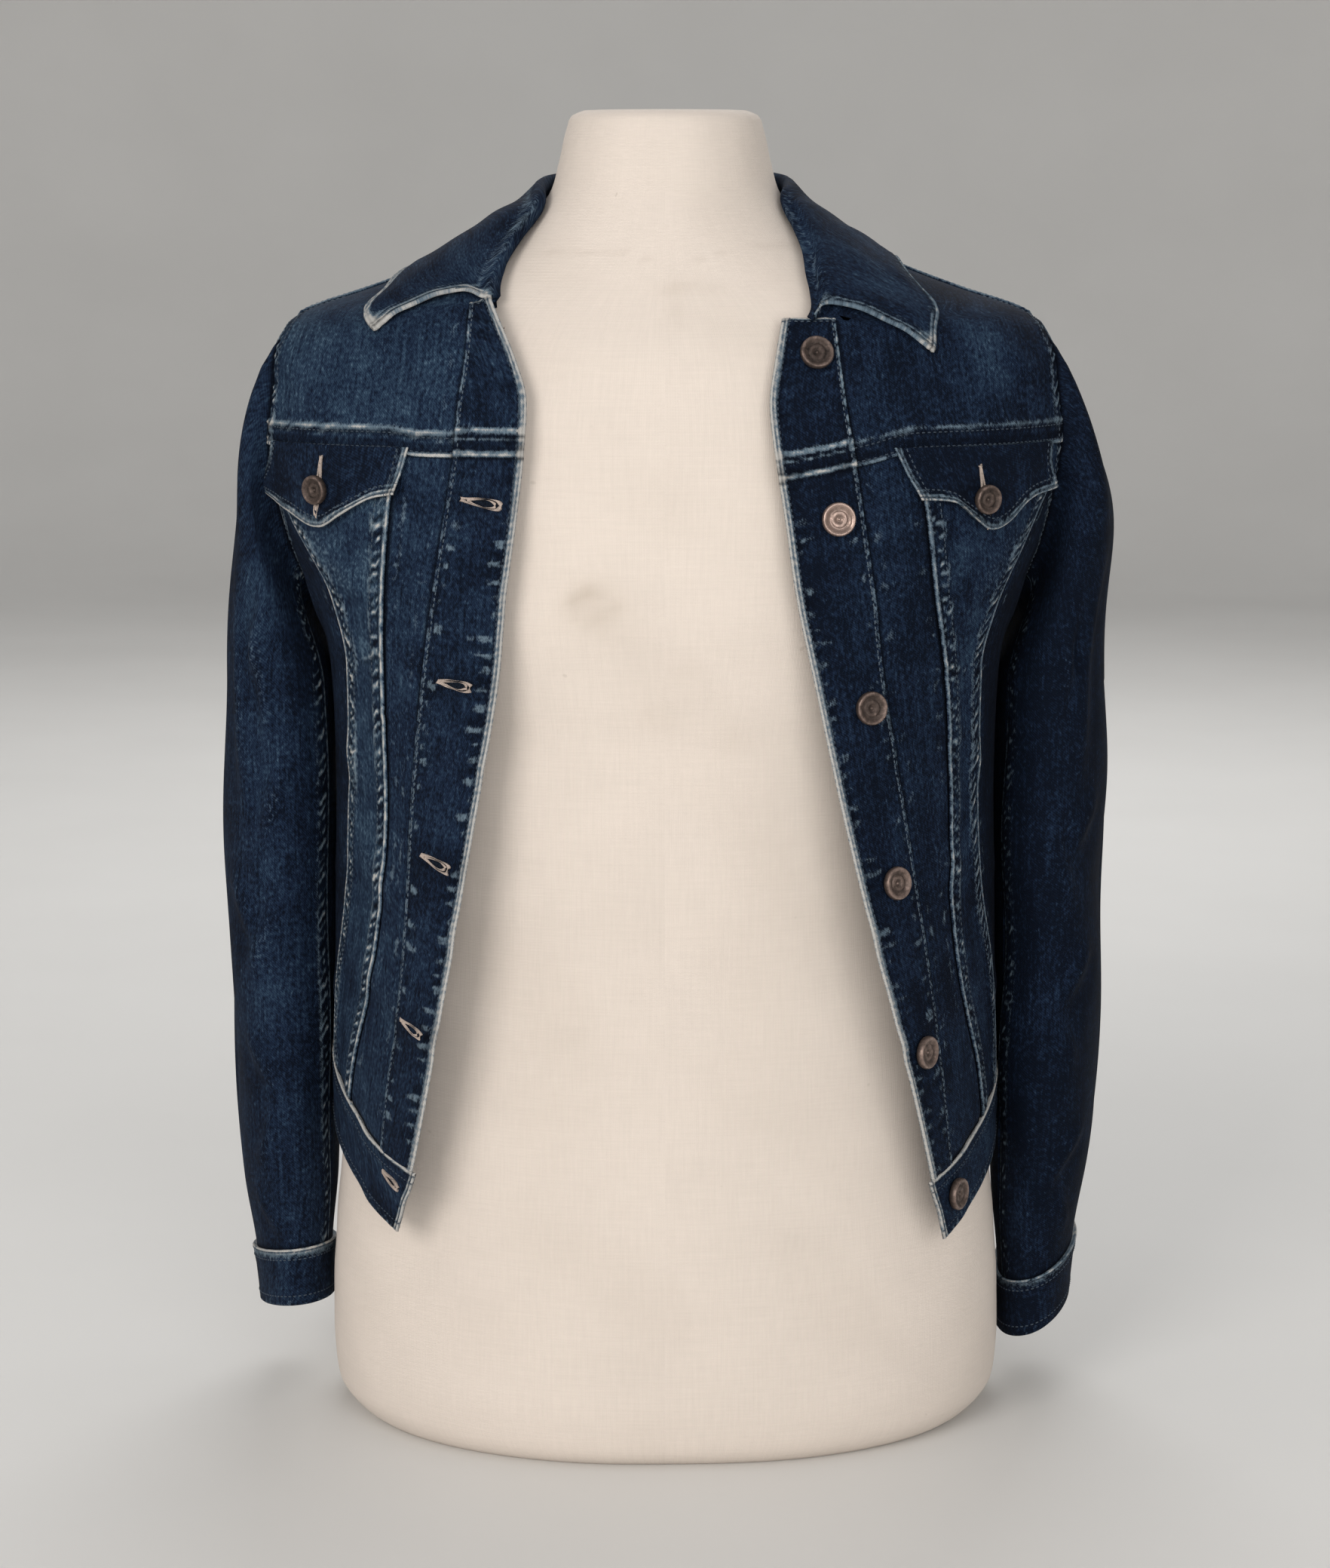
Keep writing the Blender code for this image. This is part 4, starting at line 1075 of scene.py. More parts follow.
def make_dress_form():
    """The form: sections stacked on a path that starts and ends at the middle of a flat cap.

    The point at turn t and height h is the section's; on the caps it is scaled towards the middle.
    """
    body = np.linspace(0, 1, 220)
    heights = np.concatenate([[0.0, 0.0015, 0.004], 0.007 + 0.688 * body, [0.6975, 0.6990, 0.7000]])
    turns = np.arange(176) * TURN / 176
    rings = section(FORM, turns[None, :], heights[:, None])
    centre = np.array([0.0, 0.0, 1.0])
    under = [rings[0] * (1 - (1 - s) * (1 - centre)) for s in (0.0, 0.5, 0.9, 0.98)]
    over = [rings[-1] * (1 - (1 - s) * (1 - centre)) for s in (0.98, 0.9, 0.5, 0.0)]
    points = np.concatenate([np.stack(under), rings, np.stack(over)])
    x, y, z = points[..., 0], points[..., 1], points[..., 2]
    front = smooth(-y, 0.0, 0.02)
    seam = 0.6325 - 0.0085 * bell(x, 0.004, 0.026) - 0.004 * bell(x, -0.05, 0.02)
    collar_line = bell(z, seam, 0.0008) * front
    yoke_line = bell(z, 0.605 + 0.9 * abs(x - 0.006), 0.0011) * front * (1 - smooth(abs(x), 0.016, 0.03))
    dents = 0.0006 * cloud(x, z, 0.11, 4) + 0.00035 * cloud(y, z, 0.05, 5)
    away = np.stack([x / 0.17, y / 0.11, 0 * z], -1)
    inside = (np.linalg.norm(away, axis=-1) > 0.2)[..., None]
    points = points + away * inside * (dents - 0.0002 * collar_line - 0.0002 * yoke_line)[..., None]
    stain = 0.07 * np.clip(cloud(x, z + y, 0.09, 7), 0, 1)
    marks = table(
        "x z wide tall depth",
        (-0.035, 0.455, 0.016, 0.014, 0.34),
        (-0.040, 0.461, 0.007, 0.006, 0.30),
        (0.004, 0.602, 0.004, 0.012, 0.16),
        (0.014, 0.612, 0.016, 0.003, 0.16),
        (0.004, 0.520, 0.006, 0.012, 0.08),
        (-0.004, 0.400, 0.008, 0.007, 0.12),
        (0.034, 0.387, 0.010, 0.007, 0.10),
        (0.012, 0.425, 0.008, 0.006, 0.07),
        (-0.021, 0.142, 0.003, 0.004, 0.12),
        (0.070, 0.300, 0.030, 0.050, 0.08),
        (-0.060, 0.220, 0.035, 0.040, 0.08),
    )
    for mark_x, mark_z, wide, tall, depth in zip(*(marks[key] for key in "x z wide tall depth".split())):
        ragged = 1 + 0.35 * cloud(x, z, 0.012, 9)
        stain = stain + depth * front * np.clip(bell(x, mark_x, wide) * bell(z, mark_z, tall) * ragged, 0, 1)
    spot = 0.10 * collar_line + 0.05 * yoke_line
    fraction = np.linspace(0, 1, len(turns) + 1)[None, :]
    run = np.insert(np.cumsum(np.linalg.norm(np.diff(points[:, 0], axis=0), axis=1)), 0, 0)[:, None]
    uv = np.stack(np.broadcast_arrays(fraction * 0.96, run), -1)
    mesh = grid_mesh("dress_form", points, uv, {"stain": stain, "spot": spot}, wrap=True)
    close_mesh(mesh)
    place("dress_form_linen", mesh, linen_material(), "linen", "dress_form")


def body_cloth(side, start, end, bottom, top, width, length, pads, tone, lift=DENIM_WALL):
    """A piece of the body between four seams, and the heights of its grid."""
    turn, height = patch(start, end, bottom, top, steps(width), steps(length, coarse=0.0022), pads)
    return Cloth(raised(turn, height, np.full(turn.shape, lift)), tone), height


def front_creases(side):
    """Creases of a front in millimetres across and up; the two sides differ a little."""
    if side == "right":
        return [
            (118, 404, 150, 398, 2.4, 0.9, 2),
            (150, 455, 186, 500, 6.0, 1.4, 4),
            (136, 300, 160, 330, 7.0, 1.1, 3),
            (120, 232, 160, 262, 8.0, 1.3, -4),
            (150, 352, 172, 392, 5.0, 1.0, 2),
            (112, 452, 134, 470, 6.0, 0.8, 3),
        ]
    return [
        (112, 418, 146, 424, 2.6, 0.8, 2),
        (150, 448, 184, 505, 7.0, 1.5, 5),
        (128, 330, 158, 306, 7.5, 1.2, -3),
        (118, 262, 158, 236, 8.0, 1.2, 4),
        (148, 392, 170, 350, 5.0, 1.1, -2),
        (104, 480, 128, 462, 6.0, 0.8, 3),
    ]


# Painted shade on each front's side panel, growing towards the side seam under the arm; more on the wearer's left,
# which faces away from the light.
FLANK_SHADE = {"right": 0.20, "left": 0.42}


def make_front_panels(side):
    """Centre, pocket and side panels of one front, up to the yoke's seam."""
    seed = 10 if side == "left" else 40
    bottom, top = above_waistband(side), yoke_seam(side)
    group = f"stitches_{side}"
    # Tones of the centre, pocket and side panels: the pocket panel is washed paler; the lower tones of the side panel
    # and of the wearer's left are painted shade, for cloth that faces away from the light.
    tones_with_side_shade = {"right": (0.36, 0.48, 0.18), "left": (0.16, 0.22, 0.04)}[side]

    centre, _ = body_cloth(
        side, front_seam(side, "placket"), front_seam(side, "centre"), bottom, top,
        0.035, 0.37, (TUCK, TUCK, TUCK, TUCK), tones_with_side_shade[0],
    )
    centre.mottle(0.05, 0.10, seed)
    centre.crease(centre.points[..., 0], centre.points[..., 2], front_creases(side))
    for border, rope in (("start", 0.5), ("end", 0.5), ("top", 0.0), ("bottom", 0.2)):
        centre.tuck(border, seed=seed + 1, rope=rope)
    finish_cloth(f"front_centre_{side}", centre, side, 0.0012, slot="faded_denim")

    def outer_edge(height):
        return np.where(height < SIDE_PANEL_TOP, front_seam(side, "side")(height), armhole(height, 1.0))

    pocket, height = body_cloth(
        side, front_seam(side, "centre"), outer_edge, bottom, top,
        0.060, 0.37, (0.0008, 0.0008, TUCK, TUCK), tones_with_side_shade[1],
    )
    pocket.mottle(0.045, 0.12, seed + 3)
    pocket.mottle(0.014, 0.07, seed + 13)
    middle = pocket.across / pocket.across[:, -1:]
    pocket.tone += 0.14 * bell(middle, 0.55, 0.35) * smooth(height, 0.28, 0.42)
    pocket.crease(pocket.points[..., 0], pocket.points[..., 2], front_creases(side), wear=0.40)
    bag_bottom = 0.430 if side == "right" else 0.424
    pocket.fold("start", FELLED, seed + 4)
    pocket.fold("end", FELLED_BOLD, seed + 5)
    bag_line = bell(height, bag_bottom - 0.010 * middle, 0.0009) * (1 - smooth(middle, 0.45, 0.75))
    pocket.wear += 0.55 * bag_line
    # Painted shadow under the ridge of the pocket bag's lower seam.
    pocket.shade += 0.6 * bell(height, bag_bottom - 0.0022 - 0.010 * middle, 0.0009) * (1 - smooth(middle, 0.4, 0.7))
    pocket.lift += 0.0005 * bag_line
    for border in ("top", "bottom"):
        pocket.tuck(border, seed=seed + 6, rope=0.2)
    finish_cloth(f"pocket_panel_{side}", pocket, side, 0.0012, slot="faded_denim", painted_side_shade=0.28)
    for border in ("start", "end"):
        sew(group, pocket, side, border, NEAR_ROW, 0.35)
        sew(group, pocket, side, border, FAR_ROW, 0.30)

    def side_edge(height):
        return np.where(height < UNDERARM_POINT, SIDE_SEAM, np.minimum(armhole(height, 1.0), SIDE_SEAM))

    flank, height = body_cloth(
        side, front_seam(side, "side"), side_edge, bottom, level(SIDE_PANEL_TOP),
        0.075, 0.33, (TUCK, 0.0008, TUCK, 0.0), tones_with_side_shade[2],
    )
    flank.mottle(0.05, 0.10, seed + 7)
    flank.crease(
        flank.points[..., 0] - flank.points[..., 1] - 0.02,
        flank.points[..., 2],
        [(168, 430, 205, 470, 5, 1.2, 3), (165, 300, 200, 320, 6, 1.0, 2), (150, 240, 190, 222, 7, 1.2, -3)],
    )
    # Painted shade towards the side seam under the arm.
    flank.shade += FLANK_SHADE[side] * smooth(flank.across, 0.002, 0.026)
    flank.tuck("start", seed=seed + 8, rope=0.6)
    flank.tuck("bottom", seed=seed + 9, rope=0.2)
    flank.fold("end", FELLED, seed + 9)
    finish_cloth(f"front_side_{side}", flank, side, 0.0012, slot="faded_denim")
    sew(group, flank, side, "end", NEAR_ROW, 0.35)
    sew(group, flank, side, "end", FAR_ROW, 0.30)


def neck_edge(side, height):
    """Turn of the neck's edge on the front, one degree inside the collar's seam."""
    seam = COLLARS[side]
    return np.radians(np.interp(height, seam["seam_height"][:5], seam["seam"][:5]) - 1)


def make_front_yoke(side):
    """The yoke of one front: its lower edge laps the panels and its armhole edge laps the sleeve."""
    seed = 110 if side == "left" else 140

    def start(height):
        placket = front_seam(side, "placket")(height)
        return np.where(height > PLACKET_TOP[side] - 0.0015, neck_edge(side, height), placket)

    def end(height):
        return armhole(height, 1.0)

    # The lower tone of the wearer's left yoke is painted shade for the side that faces away from the light.
    yoke, height = body_cloth(
        side, start, end, yoke_seam(side), level(NECKLINE - 0.003),
        0.11, 0.12, (TUCK, 0.0008, 0.0012, 0.0), 0.42 if side == "right" else 0.17,
    )
    yoke.mottle(0.055, 0.12, seed)
    x, z = yoke.points[..., 0], yoke.points[..., 2]
    yoke.tone += 0.16 * bell(x, 0.165, 0.04) * bell(z, 0.572, 0.022)
    rows = (
        [(150, 548, 190, 556, 5, 0.9, 2), (118, 586, 160, 570, 6, 0.8, -3), (182, 560, 200, 585, 5, 1.0, 2)]
        if side == "right"
        else [(150, 552, 196, 545, 5, 1.0, 2), (178, 572, 203, 548, 5, 1.2, 3), (170, 585, 200, 562, 4, 1.0, 2)]
    )
    yoke.crease(x, z, rows)
    below_shoulder = 1 - smooth(height, SHOULDER_POINT - 0.004, SHOULDER_POINT)
    # Fainter seam lines on the wearer's left yoke: painted shade for that side.
    yoke.fold("bottom", YOKE_FOLD, seed + 1, only=1.0 if side == "right" else 0.8)
    yoke.tone -= 0.22 * bell(yoke.away("bottom"), 0.0045, 0.0022)
    yoke.fold("end", FELLED, seed + 2, only=below_shoulder)
    yoke.tuck("start", seed=seed + 3, rope=0.4)
    finish_cloth(f"front_yoke_{side}", yoke, side, 0.0012, slot="faded_denim", painted_side_shade=0.34)
    group = f"stitches_{side}"
    sew(group, yoke, side, "bottom", 0.0025, 0.25)
    sew(group, yoke, side, "bottom", 0.0096, 0.25)
    sew(group, yoke, side, "end", NEAR_ROW, 0.3, span=(0.0, 0.52))
    sew(group, yoke, side, "end", FAR_ROW, 0.3, span=(0.0, 0.52))


def make_placket(side):
    """The button band: a folded double strip with a piped front edge and short puckers along it."""
    seed = 210 if side == "left" else 240
    turn, height = patch(
        front_seam(side, "edge"), front_seam(side, "placket"), above_waistband(side), level(PLACKET_TOP[side]),
        steps(0.04, coarse=0.002), steps(0.44, coarse=0.0015), (0, 0.0008, 0.0015, 0),
    )
    towards_edge = (1 - (turn - turn[:, :1]) / (turn[:, -1:] - turn[:, :1])) ** 2
    lift = PLACKET_WALL + read(FRONTS[side], "stand", height) * towards_edge
    # The lower tone of the wearer's left placket is painted shade for the side that faces away from the light.
    band = Cloth(raised(turn, height, lift), 0.24 if side == "right" else 0.10)
    band.mottle(0.05, 0.09, seed)
    edge, run = band.away("start"), band.run("start")
    seam = band.away("end")
    below_chest = 1 - 0.8 * smooth(height, 0.485, 0.520)
    # Fewer pale puckers on the wearer's left: painted shade for the side that faces away from the light; fewer above
    # the chest too.
    strong = (1.0 if side == "right" else 0.7) * below_chest
    for distance, pitch, reach, extra in ((edge, 0.0092, 0.0190, 1), (seam, 0.0104, 0.0140, 2)):
        pull = uneven(run + 0.15 * distance, pitch, seed + extra)
        long_by = reach * (0.75 + 0.35 * cloud(run, 0 * run, 0.021, seed + 10 * extra))
        short = smooth(distance, 0.0034, 0.0056) * (1 - smooth(distance, 0.40 * long_by, long_by))
        ragged = np.clip(0.80 + 0.40 * cloud(run, distance, 0.0060, seed + 11 * extra), 0.3, 1.2)
        band.lift += 0.00080 * pull * short
        band.wear += 0.40 * strong * smooth(smooth(pull, -0.2, 0.8) * short * ragged, 0.0, 0.70)
        # Painted shade in the pucker troughs.
        band.shade += 0.65 * smooth(-pull, 0.1, 0.8) * short
    notch = 0.5 + 0.5 * np.sin(TURN * run / 0.0024)
    band.lift -= 0.0011 * (1 - smooth(edge, 0, 0.0011))
    # The piped front edge: pale rubbed ridges with a groove of painted shade between them, then a line of painted shade
    # at the stitch row inside.
    for place_at, width, strength in ((0.0006, 0.0010, 1.25), (0.0017, 0.0005, -0.50), (0.0027, 0.0009, 0.90)):
        band.lift += 0.0004 * strength * bell(edge, place_at, width)
        band.wear += max(strength, 0) * bell(edge, place_at, width) * (0.95 - 0.25 * notch)
        band.shade += max(-strength, 0) * bell(edge, place_at, width)
    band.shade += 0.80 * bell(edge, 0.0040, 0.0008) * (0.7 + 0.3 * notch)
    band.lift -= 0.00035 * bell(seam, NEAR_ROW, 0.0007) + 0.0006 * (1 - smooth(seam, 0, 0.0009))
    line = height - yoke_seam(side)(turn)
    above = smooth(line, YOKE_BAND, YOKE_BAND + 0.003)
    band.wear += (0.38 + 0.25 * above) * bell(seam, 0.0010, 0.0008) * (0.7 + 0.5 * cloud(run, seam, 0.006, seed + 6))
    band.wear += 0.42 * bell(seam, 0.0026, 0.0005) * smooth(notch, 0.45, 0.75) * (1 - above)
    # Painted shade in a groove beside the inner seam.
    band.shade += 0.35 * bell(seam, 0.0036, 0.0008)
    crossing = smooth(line, -0.0004, 0.0004) * (1 - smooth(line, YOKE_BAND, YOKE_BAND + 0.003))
    broken = 0.8 + 0.3 * cloud(edge, line, 0.004, seed + 8)
    band.lift += 0.0010 * crossing
    # Where the yoke seam crosses the band: pale rubbed lines, painted shade in its grooves, and a painted shadow just
    # under its lower edge.
    for place_at, width, strength in YOKE_FOLD["lines"]:
        band.wear += np.clip(strength, 0, 1) * broken * bell(line, place_at, width)
        band.shade += np.clip(-strength, 0, 1) * bell(line, place_at, width)
    band.shade += 0.95 * bell(line, -0.0012, 0.0009)
    top = band.away("top")
    band.lift -= 0.0009 * (1 - smooth(top, 0, 0.0010))
    band.wear += 0.95 * bell(top, 0.0007, 0.0009)
    # Painted shade just below the rubbed top edge.
    band.shade += 0.5 * bell(top, 0.0024, 0.0007)
    if side == "right":
        for out, middle in zip(BUTTONHOLES["out"][1:-1], BUTTONHOLES["height"][1:-1]):
            x, z = band.points[..., 0] - out, height - middle
            reach = bell(np.hypot(x / 1.9, z), 0.0048, 0.0022)
            band.lift += 0.0005 * reach
            # Painted shade round each buttonhole.
            band.shade += 0.55 * bell(np.hypot(x / 2.2, z), 0.0, 0.0065)
    band.crease(
        band.points[..., 0], height,
        [
            (70, 470, 118, 452, 6, 0.9, 3),
            (84, 372, 126, 388, 7, 0.8, -2),
            (100, 300, 134, 282, 7, 0.9, 2),
            (112, 232, 140, 246, 6, 0.9, 3),
        ],
        wear=0.12,
    )
    finish_cloth(f"placket_{side}", band, side, 0.0024)
    group = f"stitches_{side}"
    sew(group, band, side, "start", 0.0040, 0.25)
    sew(group, band, side, "end", NEAR_ROW, 0.5)
    sew(group, band, side, "top", 0.0026, 0.35)


def make_back():
    """Back yoke, centre back and two side backs, felled like the fronts."""

    def other(seam):
        return lambda height: TURN - seam(height)

    def yoke_start(height):
        return armhole(height, -1.0)

    yoke, height = body_cloth(
        "left", yoke_start, other(yoke_start), level(YOKE_SEAM), level(NECKLINE),
        0.40, 0.13, (0.0008, 0.0008, 0.0012, 0.0), 0.46,
    )
    yoke.mottle(0.06, 0.13, 301)
    x, z = yoke.points[..., 0], yoke.points[..., 2]
    yoke.crease(
        x, z,
        [
            (-190, 556, -140, 566, 7, 1.2, 3),
            (-120, 548, -60, 553, 8, 0.9, -3),
            (-40, 600, 46, 594, 6, 0.9, 4),
            (88, 552, 150, 561, 8, 1.1, 3),
            (150, 578, 196, 552, 6, 1.3, -3),
        ],
    )
    below_shoulder = 1 - smooth(height, SHOULDER_POINT - 0.004, SHOULDER_POINT)
    on_shoulder = 1 - below_shoulder
    yoke.fold("bottom", YOKE_FOLD, 302)
    for border, seed in (("start", 303), ("end", 305)):
        yoke.fold(border, FELLED_LIGHT, seed, only=below_shoulder)
        yoke.fold(border, FELLED_LIGHT, seed + 1, only=on_shoulder, step=0.0012)
    finish_cloth("back_yoke", yoke, "left", 0.0012, slot="faded_denim")
    for border in ("start", "end"):
        sew("stitches_back", yoke, "left", border, NEAR_ROW, 0.35)
        sew("stitches_back", yoke, "left", border, FAR_ROW, 0.30)
    sew("stitches_back", yoke, "left", "bottom", 0.0025, 0.25)
    sew("stitches_back", yoke, "left", "bottom", 0.0096, 0.25)

    def back_bottom(turn):
        heights = np.where(turn < math.pi, hem(turn, "left"), hem(TURN - turn, "right"))
        return heights + WAISTBAND_DEPTH

    centre, height = body_cloth(
        "left", back_seam, other(back_seam), back_bottom, level(YOKE_SEAM),
        0.25, 0.34, (0.0008, 0.0008, TUCK, TUCK), 0.44,
    )
    centre.mottle(0.06, 0.13, 311)
    centre.tone += 0.10 * bell(centre.points[..., 0], 0.0, 0.06) * smooth(height, 0.25, 0.45)
    centre.crease(
        centre.points[..., 0], height,
        [
            (-104, 470, -40, 452, 8, 1.4, 4),
            (30, 446, 112, 480, 9, 1.5, -5),
            (-88, 372, -20, 360, 7, 1.2, 3),
            (10, 352, 84, 366, 7, 1.3, -3),
            (-92, 300, -46, 322, 8, 1.2, 3),
            (40, 318, 96, 292, 8, 1.3, 3),
            (-60, 238, 20, 228, 9, 1.3, 4),
            (-12, 402, 6, 300, 11, 0.8, 3),
        ],
    )
    for border, seed in (("start", 312), ("end", 313)):
        centre.fold(border, FELLED, seed)
    centre.tuck("top", seed=314, rope=0.2)
    centre.tuck("bottom", seed=315, rope=0.2)
    finish_cloth("back_centre", centre, "left", 0.0012, slot="faded_denim")
    for border in ("start", "end"):
        sew("stitches_back", centre, "left", border, NEAR_ROW, 0.35)
        sew("stitches_back", centre, "left", border, FAR_ROW, 0.30)

    def side_start(height):
        return np.where(height < UNDERARM_POINT, SIDE_SEAM, np.maximum(armhole(height, -1.0), SIDE_SEAM))

    for side, seed in (("right", 320), ("left", 330)):
        flank, height = body_cloth(
            side, side_start, back_seam, above_waistband(side), level(YOKE_SEAM),
            0.13, 0.34, (TUCK, TUCK, TUCK, TUCK), 0.32,
        )
        flank.mottle(0.05, 0.12, seed)
        flank.crease(
            flank.points[..., 1], height,
            [
                (30, 470, 92, 496, 8, 1.3, 4),
                (40, 420, 88, 400, 7, 1.2, -3),
                (24, 330, 84, 348, 8, 1.2, 3),
                (36, 262, 90, 240, 8, 1.4, -3),
            ],
        )
        below_arm = 1 - smooth(height, UNDERARM_POINT - 0.005, UNDERARM_POINT + 0.005)
        # Painted shade below the arm, where the side back runs under the side seam.
        flank.shade += below_arm * (1 - smooth(flank.away("start") - TUCK, 0.0004, 0.0020))
        flank.lift -= below_arm * 0.0007 * (1 - smooth(flank.away("start") - TUCK, -0.001, 0.0028))
        flank.fold("start", FELLED_LIGHT, seed + 1, only=1 - below_arm)
        for border in ("end", "top", "bottom"):
            flank.tuck(border, seed=seed + 2)
        finish_cloth(f"back_side_{side}", flank, side, 0.0012)


def make_waistband():
    """One double band round the body; its front ends stand a little past the plackets at the top."""
    share = steps(WAISTBAND_DEPTH, coarse=0.0018)[:, None]
    around = steps(0.87, coarse=0.0025)[None, :]
    turn = QUARTER + math.pi * around + 0 * share
    for _ in range(14):
        lower = np.where(turn < math.pi, hem(turn, "left"), hem(TURN - turn, "right"))
        height = lower + WAISTBAND_DEPTH * share
        ends = []
        for side, column in (("left", 0), ("right", -1)):
            at = height[:, column : column + 1] if column == 0 else height[:, -1:]
            out = read(FRONTS[side], "edge", at) - 0.0022 * smooth(share, 0.35, 1.0)
            ends.append(turn_at_width(out, at))
        turn = ends[0] + (TURN - ends[1] - ends[0]) * around
    band = Cloth(raised(turn, height, np.full(turn.shape, BAND_WALL)), 0.30)
    band.mottle(0.05, 0.11, 401)
    band.fold("top", WAIST_FOLD, 402)
    band.fold("bottom", TURNED, 404)
    for border, seed in (("start", 406), ("end", 408)):
        band.fold(border, PIPED, seed)
    wave = uneven(band.across, 0.014, 410)
    band.lift += 0.0004 * wave * bell(band.up, WAISTBAND_DEPTH / 2, 0.010)
    finish_cloth("waistband", band, "left", 0.0022)
    for border, away in (("top", 0.0021), ("top", 0.0068), ("bottom", 0.0056)):
        sew("stitches_back", band, "left", border, away, 0.25)
    for border in ("start", "end"):
        sew("stitches_back", band, "left", border, 0.0017, 0.35)


def through(rows, count):
    """A smooth surface through a few rows: each column is a Catmull-Rom curve, read at even lengths."""
    padded = np.concatenate([2 * rows[:1] - rows[1:2], rows, 2 * rows[-1:] - rows[-2:-1]])
    at = np.linspace(0, len(rows) - 1, 40 * len(rows))
    index = np.clip(at.astype(int), 0, len(rows) - 2)
    t = (at - index)[:, None, None]
    a, b, c, d = (padded[index + k] for k in range(4))
    dense = 0.5 * (2 * b + (c - a) * t + (2 * a - 5 * b + 4 * c - d) * t**2 + (3 * b - a - 3 * c + d) * t**3)
    middle = dense[:, dense.shape[1] // 2]
    run = np.insert(np.cumsum(np.linalg.norm(np.diff(middle, axis=0), axis=1)), 0, 0)
    wanted = count * run[-1]
    place_at = np.interp(wanted, run, np.arange(len(run)))
    low = np.clip(place_at.astype(int), 0, len(run) - 2)
    share = (place_at - low)[:, None, None]
    return dense[low] * (1 - share) + dense[low + 1] * share


def collar_half(side, station):
    """Rows of half the collar: up the stand, over the fold and down the leaf to its free edge."""
    source = COLLARS[side]

    def value(column):
        return read(source, column, station, "station")

    seam, fold, edge = (np.radians(value(name)) for name in ("seam", "fold", "edge"))
    seam_height, fold_height, edge_height = (value(f"{name}_height") for name in ("seam", "fold", "edge"))
    rows = []
    for share in (0.0, 0.5, 1.0):
        turn = seam + (fold - seam) * share
        height = seam_height + (fold_height - STAND_BELOW_FOLD - seam_height) * share
        rows.append(raised(turn, height, np.full(station.shape, LAY_GAP)))
    rows.append(raised(fold, fold_height + CREST_ABOVE_FOLD, np.full(station.shape, LEAF_FOLD_LIFT / 2)))
    spring, arch = value("spring"), value("arch")
    crown = {"right": 1.20, "left": 0.60}[side]
    for share in (0.0, 0.12, 0.3, 0.5, 0.7, 0.85, 1.0):
        arched = arch * math.sin(math.pi * share**crown)
        turn = fold + (edge - fold) * share + ARCH_DRIFT * arched
        height = fold_height - LEAF_BELOW_FOLD + (edge_height - fold_height) * share**LEAF_FALL + arched
        rest = LEAF_FOLD_LIFT + (LEAF_EDGE_LIFT - LEAF_FOLD_LIFT) * share
        rows.append(raised(turn, height, rest + spring * math.sin(math.pi * share)))
    return np.stack(rows)


def make_collar():
    """The collar in one folded piece, with a row of stitches inside its edge all round."""
    station = steps(0.52, coarse=0.0022)
    station = station[station <= 0.5] * 2
    left = collar_half("left", station)
    right = collar_half("right", station) * np.array([-1.0, 1.0, 1.0])
    rows = np.concatenate([left, right[:, -2::-1]], axis=1)
    points = through(rows, steps(0.075, coarse=0.0016))
    collar = Cloth(points, 0.30)
    collar.mottle(0.05, 0.12, 501)
    stand = np.linalg.norm(np.diff(rows[:4], axis=0), axis=-1).sum(0)
    leaf = smooth(collar.up - stand, 0.0030, 0.0075)
    collar.fold("top", PIPED, 502, only=leaf)
    for border, seed in (("start", 504), ("end", 506)):
        collar.fold(border, PIPED, seed, only=leaf)
        tip = np.hypot(collar.away("top"), collar.away(border))
        collar.wear += 0.55 * bell(tip, 0.0065, 0.0040) * (1 + 0.5 * cloud(collar.across, collar.up, 0.004, seed))
    crest = collar.up / collar.up[-1:]
    collar.wear += 0.22 * bell(crest, 0.22, 0.07) * (1 + 0.5 * cloud(collar.across, collar.up, 0.01, 507))
    collar.lift += 0.0006 * cloud(collar.across, collar.up, 0.035, 508) * leaf * smooth(collar.away("top"), 0.002, 0.012)
    finish_cloth("collar", collar, "left", COLLAR_WALL, middle=True, painted_side_shade=0.42)
    lifted = Cloth(collar.surface() + collar.normals * COLLAR_WALL / 2, 0)
    lifted.across, lifted.up = collar.across, collar.up
    sew("stitches_back", lifted, "left", "top", 0.0039, 0.35, span=(0.008, 0.992))
    for border in ("start", "end"):
        sew("stitches_back", lifted, "left", border, 0.0039, 0.35, span=(0.35, 0.95))


